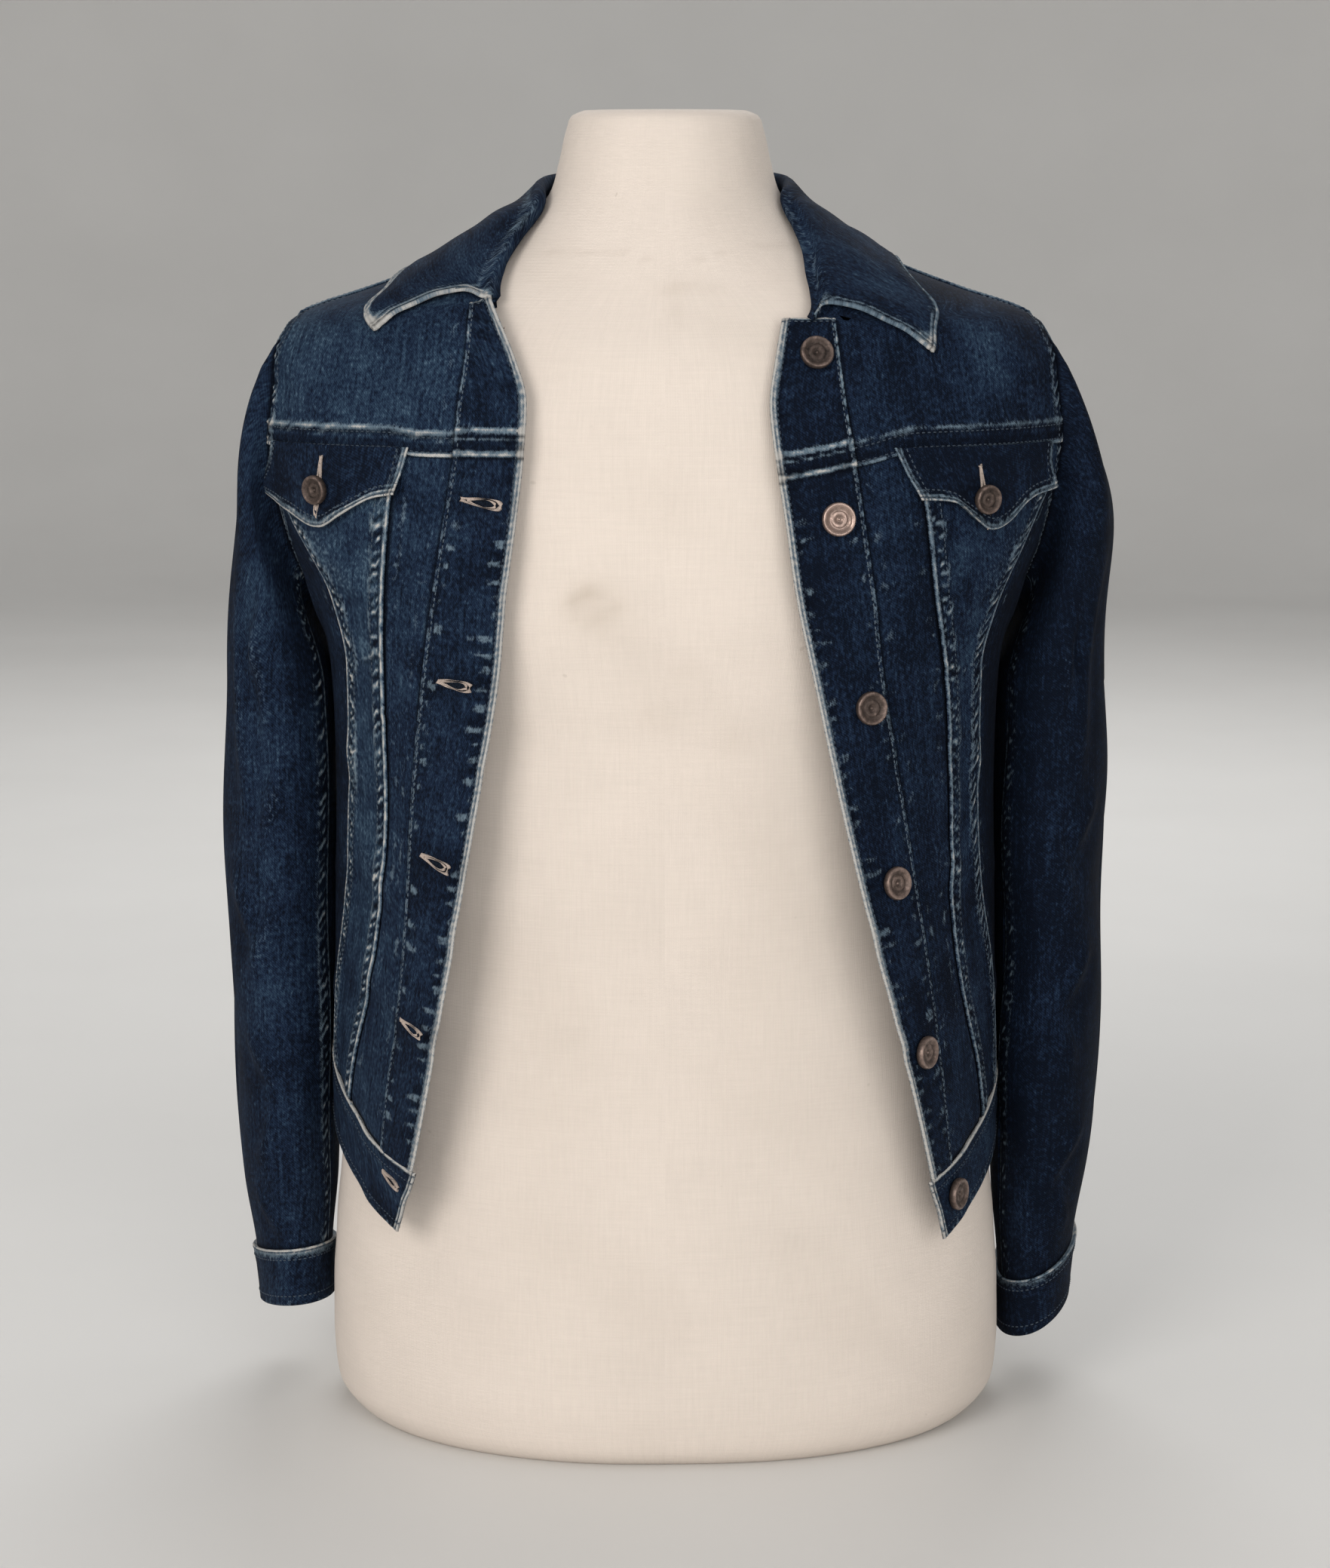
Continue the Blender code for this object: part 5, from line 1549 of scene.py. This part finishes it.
def make_flap(side):
    """A pocket flap: ends that lean inwards, a lower edge that comes to a point, two stitch rows."""
    flap, seed = FLAPS[side], 610 if side == "left" else 640
    across = steps(0.08, coarse=0.0016)[None, :]
    down = steps(0.042, coarse=0.0014)[:, None]
    bottom = read(flap["outline"], "bottom", across, "across")
    height = bottom + (FLAP_TOP - bottom) * down
    lean = (FLAP_TOP - height) / 0.024
    inner = flap["top"][0] + (flap["low"][0] - flap["top"][0]) * np.clip(lean, 0, 1.3)
    outer = flap["top"][1] + (flap["low"][1] - flap["top"][1]) * np.clip(lean, 0, 1.3)
    out = inner + (outer - inner) * across
    widest = read(JACKET, "half_width", height) - 0.0006
    turn = turn_at_width(np.minimum(out, widest), height)
    curl = 0.0015 * smooth(1 - down, 0.5, 1.0) + 0.0030 * smooth(across, 0.86, 1.0) * smooth(1 - down, 0.3, 1.0)
    curl = curl + 0.0018 * (1 - smooth(across, 0.0, 0.10)) * smooth(1 - down, 0.3, 1.0)
    lift = DENIM_WALL + LAY_GAP + FLAP_WALL + 0.0003 + curl
    points = raised(turn, height, lift)
    points[..., 0] += np.maximum(out - widest, 0)
    # The lower tone of the wearer's left flap is painted shade for the side that faces away from the light.
    piece = Cloth(points, 0.16 if side == "right" else 0.03)
    piece.mottle(0.03, 0.08, seed)
    rows = (0.0017, 0.0060)
    piece.fold("bottom", PIPED, seed + 1)
    for border, extra in (("start", 2), ("end", 3)):
        piece.fold(border, PIPED, seed + extra, only=0.75)
    x, z = piece.points[..., 0] - flap["button"][0], height - flap["button"][1]
    # Painted shadow: a dark ring round the button.
    piece.shade += 0.5 * bell(np.hypot(x, z), 0.009, 0.003)
    piece.lift += 0.0006 * bell(np.hypot(x, z), 0.011, 0.004)
    piece.crease(
        piece.points[..., 0], height,
        [(136, 528, 160, 512, 4, 0.8, 2), (196, 526, 180, 514, 4, 0.8, 2), (140, 512, 156, 502, 4, 0.6, 1)],
        wear=0.15,
    )
    finish_cloth(f"flap_{side}", piece, side, FLAP_WALL, painted_side_shade=0.36)
    group = f"stitches_{side}"
    for away in rows:
        for border in ("bottom", "start", "end"):
            sew(group, piece, side, border, away, 0.30)


def armhole_loop(around, lap):
    """Turn and height of the armhole at an angle round it: 0 is the shoulder, 90 degrees the front."""
    height = ARMHOLE_MIDDLE + (ARMHOLE_HALF_HEIGHT + lap) * np.cos(around)
    middle = ARMHOLE_DRIFT * (1 - ((1 + np.cos(around)) / 2) ** 2)
    return turn_at_depth((ARMHOLE_HALF_DEPTH + lap) * np.sin(around) - middle, height), height


def sleeve_section(around, height):
    """Point of a level oval of the left sleeve; the angle 0 is its outer side, 90 degrees its front."""
    out = read(SLEEVE, "half_width", height) * np.cos(around)
    ahead = read(SLEEVE, "half_depth", height) * np.sin(around)
    turn = np.radians(read(SLEEVE, "turn", height))
    x = read(SLEEVE, "out", height) + out * np.cos(turn) - ahead * np.sin(turn)
    y = read(SLEEVE, "back_of_middle", height) - out * np.sin(turn) - ahead * np.cos(turn)
    return np.stack(np.broadcast_arrays(x, y, height), -1)


def cuff_lean(points, side):
    """Rise of a leaning cuff at each point, measured from the middle of the sleeve's end."""
    forward, out = CUFF_LEAN[side]
    ahead = points[..., 1] - SLEEVE["back_of_middle"][0]
    return forward * ahead + out * (points[..., 0] - SLEEVE["out"][1])


def sleeve_points(around, side):
    """Grid of a sleeve piece: a Hermite curve from the armhole over the head, then level ovals."""
    turn, height = armhole_loop(around, SLEEVE_TUCK)
    start = raised(turn, height, np.full(around.shape, DENIM_WALL - 0.0006))
    away = outward(JACKET, turn, height)
    end = sleeve_section(around, np.full(around.shape, SLEEVE_HEAD_END))
    drop = (start[:, 2] - SLEEVE_HEAD_END)[:, None]
    on_shoulder = smooth(np.cos(around), 0.55, 1.0)[:, None]
    leave = away * (HEAD_PUFF * (1 - 0.75 * on_shoulder) + HEAD_PUFF_BY_DROP * drop * (1 - 0.6 * on_shoulder))
    arrive = np.array([0.0, 0.0, -HEAD_FALL_BY_DROP]) * drop
    t = steps(0.16, fine=0.0008, coarse=0.0026)[:, None, None]
    head = (2 * t**3 - 3 * t**2 + 1) * start + (-2 * t**3 + 3 * t**2) * end
    head = head + (t**3 - 2 * t**2 + t) * leave + (t**3 - t**2) * arrive
    fuller = HEAD_FULLNESS[side] * np.clip(np.cos(around), 0, 1) * smooth(t[..., 0], 0.0, 0.4)
    head[..., 0] += fuller * bell(head[..., 2], HEAD_FULLEST_AT, 0.050)
    cuff_top = CUFF_HEM[side] + CUFF_DEPTH - 0.0030
    share = steps(0.33, fine=0.0012, coarse=0.0028)[1:, None]
    level_height = SLEEVE_HEAD_END + (cuff_top - SLEEVE_HEAD_END) * share
    arm = sleeve_section(around[None, :], level_height + 0 * around[None, :])
    arm[..., 2] += share**3 * cuff_lean(arm, side)
    return np.concatenate([head, arm])[::-1]


def sleeve_creases(side):
    """Creases of a sleeve: the angle round it in tenths of a degree and the height in millimetres."""
    if side == "right":
        return [
            (40, 470, 52, 330, 6, 1.6, 2),
            (62, 440, 80, 372, 5, 1.8, -2),
            (84, 452, 58, 404, 5, 1.6, 2),
            (96, 360, 70, 322, 6, 1.7, 2),
            (30, 300, 62, 262, 6, 1.5, -2),
            (88, 286, 56, 244, 6, 1.7, 2),
            (44, 214, 82, 186, 6, 1.3, 2),
            (76, 168, 46, 138, 5, 1.3, -2),
            (36, 120, 70, 100, 5, 1.1, 2),
        ]
    return [
        (42, 476, 60, 350, 6, 1.5, -2),
        (70, 446, 86, 384, 5, 1.8, 2),
        (90, 430, 60, 392, 5, 1.4, 2),
        (34, 344, 68, 318, 6, 1.6, 2),
        (92, 330, 64, 286, 6, 1.6, -2),
        (40, 262, 74, 232, 6, 1.6, 2),
        (84, 214, 52, 196, 6, 1.4, 2),
        (40, 160, 78, 128, 5, 1.4, -2),
        (66, 118, 38, 98, 5, 1.0, 2),
    ]


def make_sleeve(side):
    """Upper and under sleeve; the hidden back seam is felled with two rows of stitches."""
    spans = (
        ("sleeve_under", SLEEVE_FRONT_SEAM, SLEEVE_BACK_SEAM, 0.12),
        ("sleeve_upper", SLEEVE_BACK_SEAM, SLEEVE_FRONT_SEAM + TURN, 0.19),
    )
    for name, first, last, width in spans:
        seed = {"sleeve_under": 700, "sleeve_upper": 720}[name] + (5 if side == "left" else 0)
        upper = name == "sleeve_upper"
        lap = math.radians(1.0) if upper else -math.radians(2.0)
        around = (last + lap) + (first - last - 2 * lap) * steps(width, coarse=0.0032)
        # The wearer's left sleeve takes a much lower tone: painted shade for the side that faces away from the light.
        arm = Cloth(sleeve_points(around, side), 0.22 if side == "right" else -0.04)
        arm.mottle(0.07, 0.10, seed)
        angle = np.degrees(np.broadcast_to(around, arm.lift.shape)) % 360
        height = arm.points[..., 2]
        front = np.minimum(angle, 360 - angle) / 1000
        if upper:
            deep = np.array(sleeve_creases(side), float) * (1, 1, 1, 1, 1.35, 1.7, 1)
            # The creases of the wearer's left sleeve are rubbed less: painted shade for that side.
            arm.crease(front, height, deep, wear=0.15 if side == "right" else 0.05)
        wide = 1.9 * cloud(angle / 900, height, 0.14, seed + 2) / 1000
        arm.lift += wide * smooth(0.5 - abs(arm.up / arm.up.max() - 0.5), 0.02, 0.2) * (0.3 + 0.7 * upper)
        arm.tone += 0.10 * bell(angle, 70, 26) * smooth(height, 0.12, 0.3)
        head = arm.away("top")
        # Painted shade where the sleeve head runs under the yoke.
        arm.shade += 1 - smooth(head, 0.0024, 0.0042)
        gather = uneven(arm.across, 0.0095, seed + 3)
        arm.lift += 0.0004 * gather * bell(head, 0.010, 0.006)
        # Painted shade where the sleeve runs under the cuff's top edge.
        arm.shade += 0.85 * (1 - smooth(arm.away("bottom") - 0.003, 0.0002, 0.0018))
        if upper:
            # Fainter seams on the wearer's left sleeve: painted shade for that side.
            strong = 0.9 if side == "right" else 0.55
            arm.fold("start", FELLED_LIGHT, seed + 4, only=strong)
            arm.fold("end", FELLED_LIGHT, seed + 5, only=strong)
        finish_cloth(f"{name}_{side}", arm, side, 0.0012)
        if upper:
            group = f"stitches_{side}"
            sew(group, arm, side, "end", NEAR_ROW, 0.4)
            sew(group, arm, side, "end", FAR_ROW, 0.35)


def make_cuff(side):
    """The cuff: a double band, open at the slit, with a stitched edge all round."""
    gap = math.radians(0.4)
    around = (CUFF_SLIT + TURN - gap) + (2 * gap - TURN) * steps(0.17, coarse=0.0022)[None, :]
    share = steps(CUFF_DEPTH, coarse=0.0018)[:, None]
    height = CUFF_HEM[side] + CUFF_DEPTH * share + 0 * around
    points = sleeve_section(around, height)
    points[..., 2] += cuff_lean(points, side)
    # The lower tone on the wearer's left cuff is painted shade for the side that faces away from the light.
    cuff = Cloth(points, 0.26 if side == "right" else 0.04)
    cuff.lift += 0.0018
    seed = 810 if side == "left" else 840
    cuff.mottle(0.04, 0.10, seed)
    cuff.fold("top", PIPED, seed + 1)
    cuff.fold("bottom", TURNED, seed + 3, only=0.7)
    for border, extra in (("start", 4), ("end", 5)):
        cuff.fold(border, PIPED, seed + extra, only=0.7)
    finish_cloth(f"cuff_{side}", cuff, side, 0.0022, painted_side_shade=0.45)
    for border, away in (("top", 0.0017), ("top", 0.0062), ("bottom", 0.0056)):
        sew(f"stitches_{side}", cuff, side, border, away, 0.3)


BUTTON_PROFILE = table(
    "along out up wear",
    (0.00, 0.000, 0.66, 0.55),
    (0.05, 0.050, 0.66, 0.60),
    (0.10, 0.110, 0.52, 0.05),
    (0.17, 0.180, 0.58, 0.22),
    (0.27, 0.300, 0.74, 0.42),
    (0.38, 0.430, 0.76, 0.38),
    (0.48, 0.540, 0.66, 0.14),
    (0.58, 0.660, 0.74, 0.30),
    (0.68, 0.790, 0.94, 0.55),
    (0.76, 0.900, 1.00, 0.72),
    (0.83, 0.975, 0.86, 0.60),
    (0.89, 1.000, 0.55, 0.30),
    (0.94, 0.960, 0.22, 0.05),
    (0.97, 0.800, 0.02, 0.00),
    (1.00, 0.000, 0.01, 0.00),
)
# How bright each front button is: partly rubbed metal, partly painted reflection where the light catches its face.
BUTTON_RUB_AND_SHEEN = (0.02, 0.72, 0.16, 0.34, 0.36, 0.24)
# How bright the flap buttons are: the same mix of rubbing and painted reflection.
FLAP_BUTTON_RUB_AND_SHEEN = 0.06


def make_button(name, diameter, side, out, height, lift, seed, rub_and_sheen):
    """A dished button turned about its own axis: r and z are read along the profile, square to the cloth."""
    thickness = 0.0042
    along = np.linspace(0, 1, 60)[:, None]
    turn = (np.arange(56) * TURN / 56)[None, :]
    dice = np.random.default_rng(seed)
    radius = read(BUTTON_PROFILE, "out", along, "along") * diameter / 2 * (1 + 0 * turn)
    up = read(BUTTON_PROFILE, "up", along, "along") * thickness + 0 * turn
    up = up + 0.00006 * cloud(radius * np.cos(turn), radius * np.sin(turn), 0.003, seed)
    at = turn_at_width(out, height)
    normal = outward(JACKET, at, height) + dice.uniform(-0.05, 0.05, 3)
    normal /= np.linalg.norm(normal)
    across = np.cross(normal, [0.0, 0.0, 1.0])
    across /= np.linalg.norm(across)
    upward = np.cross(across, normal)
    seat = raised(at, height, lift)
    points = seat + normal * up[..., None] - across * (radius * np.cos(turn))[..., None]
    points = points + upward * (radius * np.sin(turn))[..., None]
    # The given share brightens the whole face: partly rubbing, partly painted reflection.
    wear = read(BUTTON_PROFILE, "wear", along, "along") * (0.72 - 0.55 * rub_and_sheen) + rub_and_sheen + 0 * turn
    points = points * np.array([SIGN[side], 1.0, 1.0])
    uv = np.stack(np.broadcast_arrays(np.linspace(0, 1, 57)[None, :] * 0.05, along * 0.01), -1)
    mesh = grid_mesh(name, points, uv, {"wear": wear}, wrap=True)
    close_mesh(mesh)
    place(name, mesh, copper_material(), "copper", name)


def make_buttonhole(name, side, out, height, length, gape, droop, lift, upright=False):
    """A worked slit: a corded ring r(t, s) round an eye-shaped loop, its cord ribbed like close stitches.

    The loop is (a cos t, b sin t (0.75 + 0.25 cos t)), and the cord's radius swells with |sin(n t)|.
    """
    at = turn_at_width(out, height)
    normal = outward(JACKET, at, height)
    across = np.cross([0.0, 0.0, 1.0], normal)
    across /= np.linalg.norm(across)
    upward = np.cross(normal, across)
    long_way, short_way = (upward, across) if upright else (across, upward)
    long_way, short_way = long_way + droop * short_way, short_way - droop * long_way
    seat = raised(at, height, lift)
    t = (np.arange(300) * TURN / 300)[None, :]
    s = (np.arange(9) * TURN / 8)[:, None]
    seed = int(height * 1000)
    eye = np.linspace(0, 1, 6)[:, None]
    mirror = np.array([SIGN[side], 1.0, 1.0])
    grids = []
    for size, cord, ribs, extra in ((1.0, 0.00082, 31, 0), (0.70, 0.00055, 24, 1)):
        wobble = 1 + 0.07 * cloud(np.cos(t), np.sin(t), 1.1, seed + extra)
        x = size * length / 2 * np.cos(t) * wobble
        y = size * gape * np.sin(t) * (0.68 - 0.36 * np.cos(t)) * wobble
        normal_x, normal_y = gape * np.cos(t), length / 2 * np.sin(t)
        reach = np.hypot(normal_x, normal_y)
        thick = cord * (0.78 + 0.34 * abs(np.sin(ribs * t)))
        px = x + normal_y / reach * thick * 1.3 * np.cos(s)
        py = y + normal_x / reach * thick * 1.3 * np.cos(s)
        rise = thick * np.sin(s) + 0.0002 + 0.0002 * extra
        ring = seat + long_way * px[..., None] + short_way * py[..., None] + normal * rise[..., None]
        grids.append((f"{name}_twist_{extra + 1}", ring, buttonhole_material()))
        # The slit: a near-black lens of painted shade where the cut gapes.
        if extra == 0:
            hole = seat + long_way * (x * eye)[..., None] + short_way * (y * eye)[..., None]
            grids.append((f"{name}_slit", hole + normal * 0.00008, painted_slit_shade_material()))
    for part, grid, material in grids:
        uv = np.zeros((grid.shape[0], grid.shape[1] + 1, 2))
        mesh = grid_mesh(part, grid * mirror, uv, {}, wrap=True)
        close_mesh(mesh)
        place(part, mesh, material, "dark_denim")


# ---------------------------------------------------------------------------------------------
# Settings, operators and panel


def size_setting(name, description, default):
    """A length in metres that a user may change."""
    return FloatProperty(name=name, description=description, default=default, min=0.0, unit="LENGTH", precision=5)


def colour_setting(name, description, default):
    """A linear colour that a user may change."""
    return FloatVectorProperty(
        name=name, description=description, default=default, size=3, min=0.0, max=1.0, subtype="COLOR"
    )


class JacketSizes(bpy.types.PropertyGroup):
    """Sizes of the sewing."""

    stitch_pitch: size_setting("Stitch pitch", "Distance from one stitch to the next", 0.0030)
    stitch_length: size_setting("Stitch length", "Length of the thread that shows", 0.0024)
    thread_radius: size_setting("Thread radius", "Half the thickness of the topstitching", 0.00034)
    pucker_pitch: size_setting("Pucker pitch", "Distance between the puckers of a felled seam", 0.0066)
    pucker_depth: size_setting("Pucker depth", "Height of the puckers", 0.00042)


class JacketColours(bpy.types.PropertyGroup):
    """Colours of the cloth, thread and metal."""

    indigo_dark: colour_setting("Indigo, dark", "Unwashed twill", (0.0030, 0.0056, 0.0125))
    indigo: colour_setting("Indigo", "Twill as most of it shows", (0.0090, 0.0180, 0.0400))
    washed: colour_setting("Washed", "Twill that has lost some dye", (0.0250, 0.0480, 0.0820))
    faded: colour_setting("Faded", "Twill that has lost most dye", (0.0720, 0.1180, 0.1650))
    rubbed: colour_setting("Rubbed", "High spots of seams", (0.1150, 0.1620, 0.2050))
    worn: colour_setting("Worn", "Edges worn to the white core", (0.4600, 0.4500, 0.4300))
    # The colour of the painted shade in seams, creases and gaps.
    painted_shade: colour_setting("Hollow", "Cloth inside a seam", (0.0012, 0.0020, 0.0045))
    thread_dark: colour_setting("Thread, dark", "Topstitching that kept its dye", (0.0100, 0.0180, 0.0360))
    thread: colour_setting("Thread", "Topstitching", (0.0900, 0.1200, 0.1500))
    thread_pale: colour_setting("Thread, pale", "Topstitching on worn edges", (0.4200, 0.4400, 0.4400))
    twist: colour_setting("Buttonhole twist", "Thread of the buttonholes", (0.4700, 0.3900, 0.3400))
    copper: colour_setting("Copper", "Rubbed metal of the buttons", (0.3600, 0.2600, 0.2200))
    linen: colour_setting("Linen", "Cover of the form", (0.7250, 0.6440, 0.5740))
    stain: colour_setting("Stain", "Old marks on the linen", (0.4400, 0.3700, 0.3000))
    spot: colour_setting("Spot", "Specks and seam lines on the linen", (0.2600, 0.2000, 0.1500))


class StageSettings(bpy.types.PropertyGroup):
    """The camera and the light."""

    camera_away: size_setting("Camera distance", "From the form's axis, level", 1.66877)
    camera_height: size_setting("Camera height", "Above the floor", 0.66938)
    camera_tilt: FloatProperty(
        name="Camera tilt", description="How far the camera looks down", default=math.radians(11), subtype="ANGLE"
    )
    key_power: FloatProperty(name="Key light", description="Power of the large soft light", default=45.0, unit="POWER")
    fill_power: FloatProperty(name="Fill light", description="Power of the wide light", default=34.0, unit="POWER")
    back_power: FloatProperty(name="Back light", description="Power of the light behind", default=26.0, unit="POWER")


class JACKET_OT_dress_form(bpy.types.Operator):
    """Builds the linen dress form"""

    bl_idname = "jacket.dress_form"
    bl_label = "Dress Form"

    def execute(self, context):
        make_dress_form()
        return {"FINISHED"}


class JACKET_OT_fronts(bpy.types.Operator):
    """Builds the panels, pocket panels and yokes of both fronts"""

    bl_idname = "jacket.fronts"
    bl_label = "Fronts"

    def execute(self, context):
        for side in SIGN:
            make_front_panels(side)
            make_front_yoke(side)
        return {"FINISHED"}


class JACKET_OT_plackets(bpy.types.Operator):
    """Builds the two button bands"""

    bl_idname = "jacket.plackets"
    bl_label = "Plackets"

    def execute(self, context):
        for side in SIGN:
            make_placket(side)
        return {"FINISHED"}


class JACKET_OT_back(bpy.types.Operator):
    """Builds the back yoke and the three back panels"""

    bl_idname = "jacket.back"
    bl_label = "Back"

    def execute(self, context):
        make_back()
        return {"FINISHED"}


class JACKET_OT_waistband(bpy.types.Operator):
    """Builds the waistband"""

    bl_idname = "jacket.waistband"
    bl_label = "Waistband"

    def execute(self, context):
        make_waistband()
        return {"FINISHED"}


class JACKET_OT_collar(bpy.types.Operator):
    """Builds the collar"""

    bl_idname = "jacket.collar"
    bl_label = "Collar"

    def execute(self, context):
        make_collar()
        return {"FINISHED"}


class JACKET_OT_flaps(bpy.types.Operator):
    """Builds the two pocket flaps"""

    bl_idname = "jacket.flaps"
    bl_label = "Pocket Flaps"

    def execute(self, context):
        for side in SIGN:
            make_flap(side)
        return {"FINISHED"}


class JACKET_OT_sleeves(bpy.types.Operator):
    """Builds the two-piece sleeves and their cuffs"""

    bl_idname = "jacket.sleeves"
    bl_label = "Sleeves and Cuffs"

    def execute(self, context):
        for side in SIGN:
            make_sleeve(side)
            make_cuff(side)
        return {"FINISHED"}


class JACKET_OT_buttons(bpy.types.Operator):
    """Builds the front buttons and the flap buttons"""

    bl_idname = "jacket.buttons"
    bl_label = "Buttons"

    def execute(self, context):
        for number, (out, height) in enumerate(zip(BUTTONS["out"], BUTTONS["height"]), start=1):
            wall = BAND_WALL if number == len(BUTTONS["out"]) else PLACKET_WALL
            sizes = (out, height, wall + LAY_GAP, 900 + number, BUTTON_RUB_AND_SHEEN[number - 1])
            make_button(f"button_{number}", BUTTON_DIAMETER, "left", *sizes)
        for side, flap in FLAPS.items():
            lift = DENIM_WALL + FLAP_WALL + 2 * LAY_GAP + 0.0006
            sizes = (*flap["button"], lift, 950, FLAP_BUTTON_RUB_AND_SHEEN)
            make_button(f"flap_button_{side}", FLAP_BUTTON_DIAMETER, side, *sizes)
        return {"FINISHED"}


class JACKET_OT_buttonholes(bpy.types.Operator):
    """Builds the worked buttonholes of the placket and the flaps"""

    bl_idname = "jacket.buttonholes"
    bl_label = "Buttonholes"

    def execute(self, context):
        columns = (BUTTONHOLES[key] for key in "out height length gape droop".split())
        for number, sizes in enumerate(zip(*columns), start=1):
            lift = (BAND_WALL if number == len(BUTTONHOLES["out"]) else PLACKET_WALL) + 0.0004
            make_buttonhole(f"buttonhole_{number}", "right", *sizes, lift)
        for side, flap in FLAPS.items():
            out, height = flap["button"]
            lift = DENIM_WALL + LAY_GAP + FLAP_WALL + 0.0009
            sizes = (out - 0.0005, height + 0.0010, 0.0310, 0.0019, -0.20, lift)
            make_buttonhole(f"flap_buttonhole_{side}", side, *sizes, upright=True)
        return {"FINISHED"}


class JACKET_OT_stitches(bpy.types.Operator):
    """Builds the rows of stitches that the other pieces called for"""

    bl_idname = "jacket.stitches"
    bl_label = "Stitches"

    def execute(self, context):
        if not THREADS:
            raise RuntimeError("no piece has called for stitches yet")
        for group in sorted(THREADS):
            build_stitches(group)
        return {"FINISHED"}


def make_backdrop():
    """A round studio: a line that runs out level, bends up and rises, turned about the vertical axis."""
    bend = np.linspace(0, QUARTER, 24)
    flat, radius, top = 3.4, 1.6, 4.6
    reach = np.concatenate([[0.001, 1.0, 2.2], flat + radius * np.sin(bend), [flat + radius]])[:, None]
    rise = np.concatenate([[0.0, 0.0, 0.0], radius * (1 - np.cos(bend)), [top]])[:, None]
    turns = (np.arange(96) * TURN / 96)[None, :]
    points = np.stack(np.broadcast_arrays(reach * np.cos(turns), reach * np.sin(turns), rise), -1)
    uv = np.zeros((points.shape[0], points.shape[1] + 1, 2))
    mesh = grid_mesh("floor", points, uv, {}, wrap=True)
    floor = bpy.data.objects.new("floor", mesh)
    bpy.context.scene.collection.objects.link(floor)
    mesh.materials.append(floor_material())


def add_area_light(name, location, target, size, power, colour):
    """A square soft light that faces a point."""
    light = bpy.data.lights.new(name, "AREA")
    light.size = size
    light.energy = power
    light.color = colour
    lamp = bpy.data.objects.new(name, light)
    bpy.context.scene.collection.objects.link(lamp)
    lamp.location = location
    towards = np.array(target) - np.array(location)
    flat = math.hypot(towards[0], towards[1])
    lamp.rotation_euler = (math.atan2(flat, -towards[2]), 0.0, math.atan2(towards[1], towards[0]) - QUARTER)


class JACKET_OT_stage(bpy.types.Operator):
    """Sets the floor, the lights and the camera"""

    bl_idname = "jacket.stage"
    bl_label = "Stage"

    def execute(self, context):
        stage = context.scene.jacket_stage
        make_backdrop()
        add_area_light("key", (-1.55, -2.5, 1.45), (0, 0, 0.36), 1.5, stage.key_power, (1.0, 0.965, 0.93))
        add_area_light("fill", (0.9, -2.8, 1.1), (0, 0, 0.32), 2.0, stage.fill_power, (1.0, 0.99, 0.98))
        add_area_light("back_light", (0.2, 1.9, 1.9), (0, 0, 0.45), 1.6, stage.back_power, (1.0, 1.0, 1.0))
        world = bpy.data.worlds.new("studio")
        world.use_nodes = True
        ambient = world.node_tree.nodes["Background"]
        ambient.inputs["Color"].default_value = (0.97, 0.98, 1.0, 1.0)
        ambient.inputs["Strength"].default_value = 0.50
        context.scene.world = world
        lens = bpy.data.cameras.new("camera")
        frame_height, focal_pixels = 2079, 4182
        lens.sensor_width = 36.0
        lens.lens = focal_pixels / frame_height * lens.sensor_width
        camera = bpy.data.objects.new("camera", lens)
        context.scene.collection.objects.link(camera)
        camera.location = (0.0, -stage.camera_away, stage.camera_height)
        camera.rotation_euler = (QUARTER - stage.camera_tilt, 0.0, 0.0)
        context.scene.camera = camera
        context.scene.view_settings.view_transform = "Standard"
        return {"FINISHED"}


OPERATORS = (
    JACKET_OT_dress_form,
    JACKET_OT_fronts,
    JACKET_OT_plackets,
    JACKET_OT_back,
    JACKET_OT_waistband,
    JACKET_OT_collar,
    JACKET_OT_flaps,
    JACKET_OT_sleeves,
    JACKET_OT_buttons,
    JACKET_OT_buttonholes,
    JACKET_OT_stitches,
    JACKET_OT_stage,
)


class JACKET_PT_sidebar(bpy.types.Panel):
    """Lists the operators with the sizes and colours that they use"""

    bl_idname = "JACKET_PT_sidebar"
    bl_label = "Denim Jacket"
    bl_space_type = "VIEW_3D"
    bl_region_type = "UI"
    bl_category = "Jacket"

    def draw(self, context):
        for settings in (context.scene.jacket_sizes, context.scene.jacket_colours, context.scene.jacket_stage):
            box = self.layout.box()
            for key in settings.bl_rna.properties.keys():
                if key not in ("rna_type", "name"):
                    box.prop(settings, key)
        for operator in OPERATORS:
            self.layout.operator(operator.bl_idname)


SETTINGS = {"jacket_sizes": JacketSizes, "jacket_colours": JacketColours, "jacket_stage": StageSettings}


def register():
    """Registers the settings, the operators and the panel."""
    for key, settings in SETTINGS.items():
        bpy.utils.register_class(settings)
        setattr(bpy.types.Scene, key, PointerProperty(type=settings))
    for operator in OPERATORS:
        bpy.utils.register_class(operator)
    bpy.utils.register_class(JACKET_PT_sidebar)


def unregister():
    """Takes everything that was registered away again."""
    bpy.utils.unregister_class(JACKET_PT_sidebar)
    for operator in reversed(OPERATORS):
        bpy.utils.unregister_class(operator)
    for key, settings in reversed(list(SETTINGS.items())):
        delattr(bpy.types.Scene, key)
        bpy.utils.unregister_class(settings)


def main():
    """Builds everything."""
    register()
    for operator in OPERATORS:
        group, name = operator.bl_idname.split(".")
        getattr(getattr(bpy.ops, group), name)()


if __name__ == "__main__":
    main()
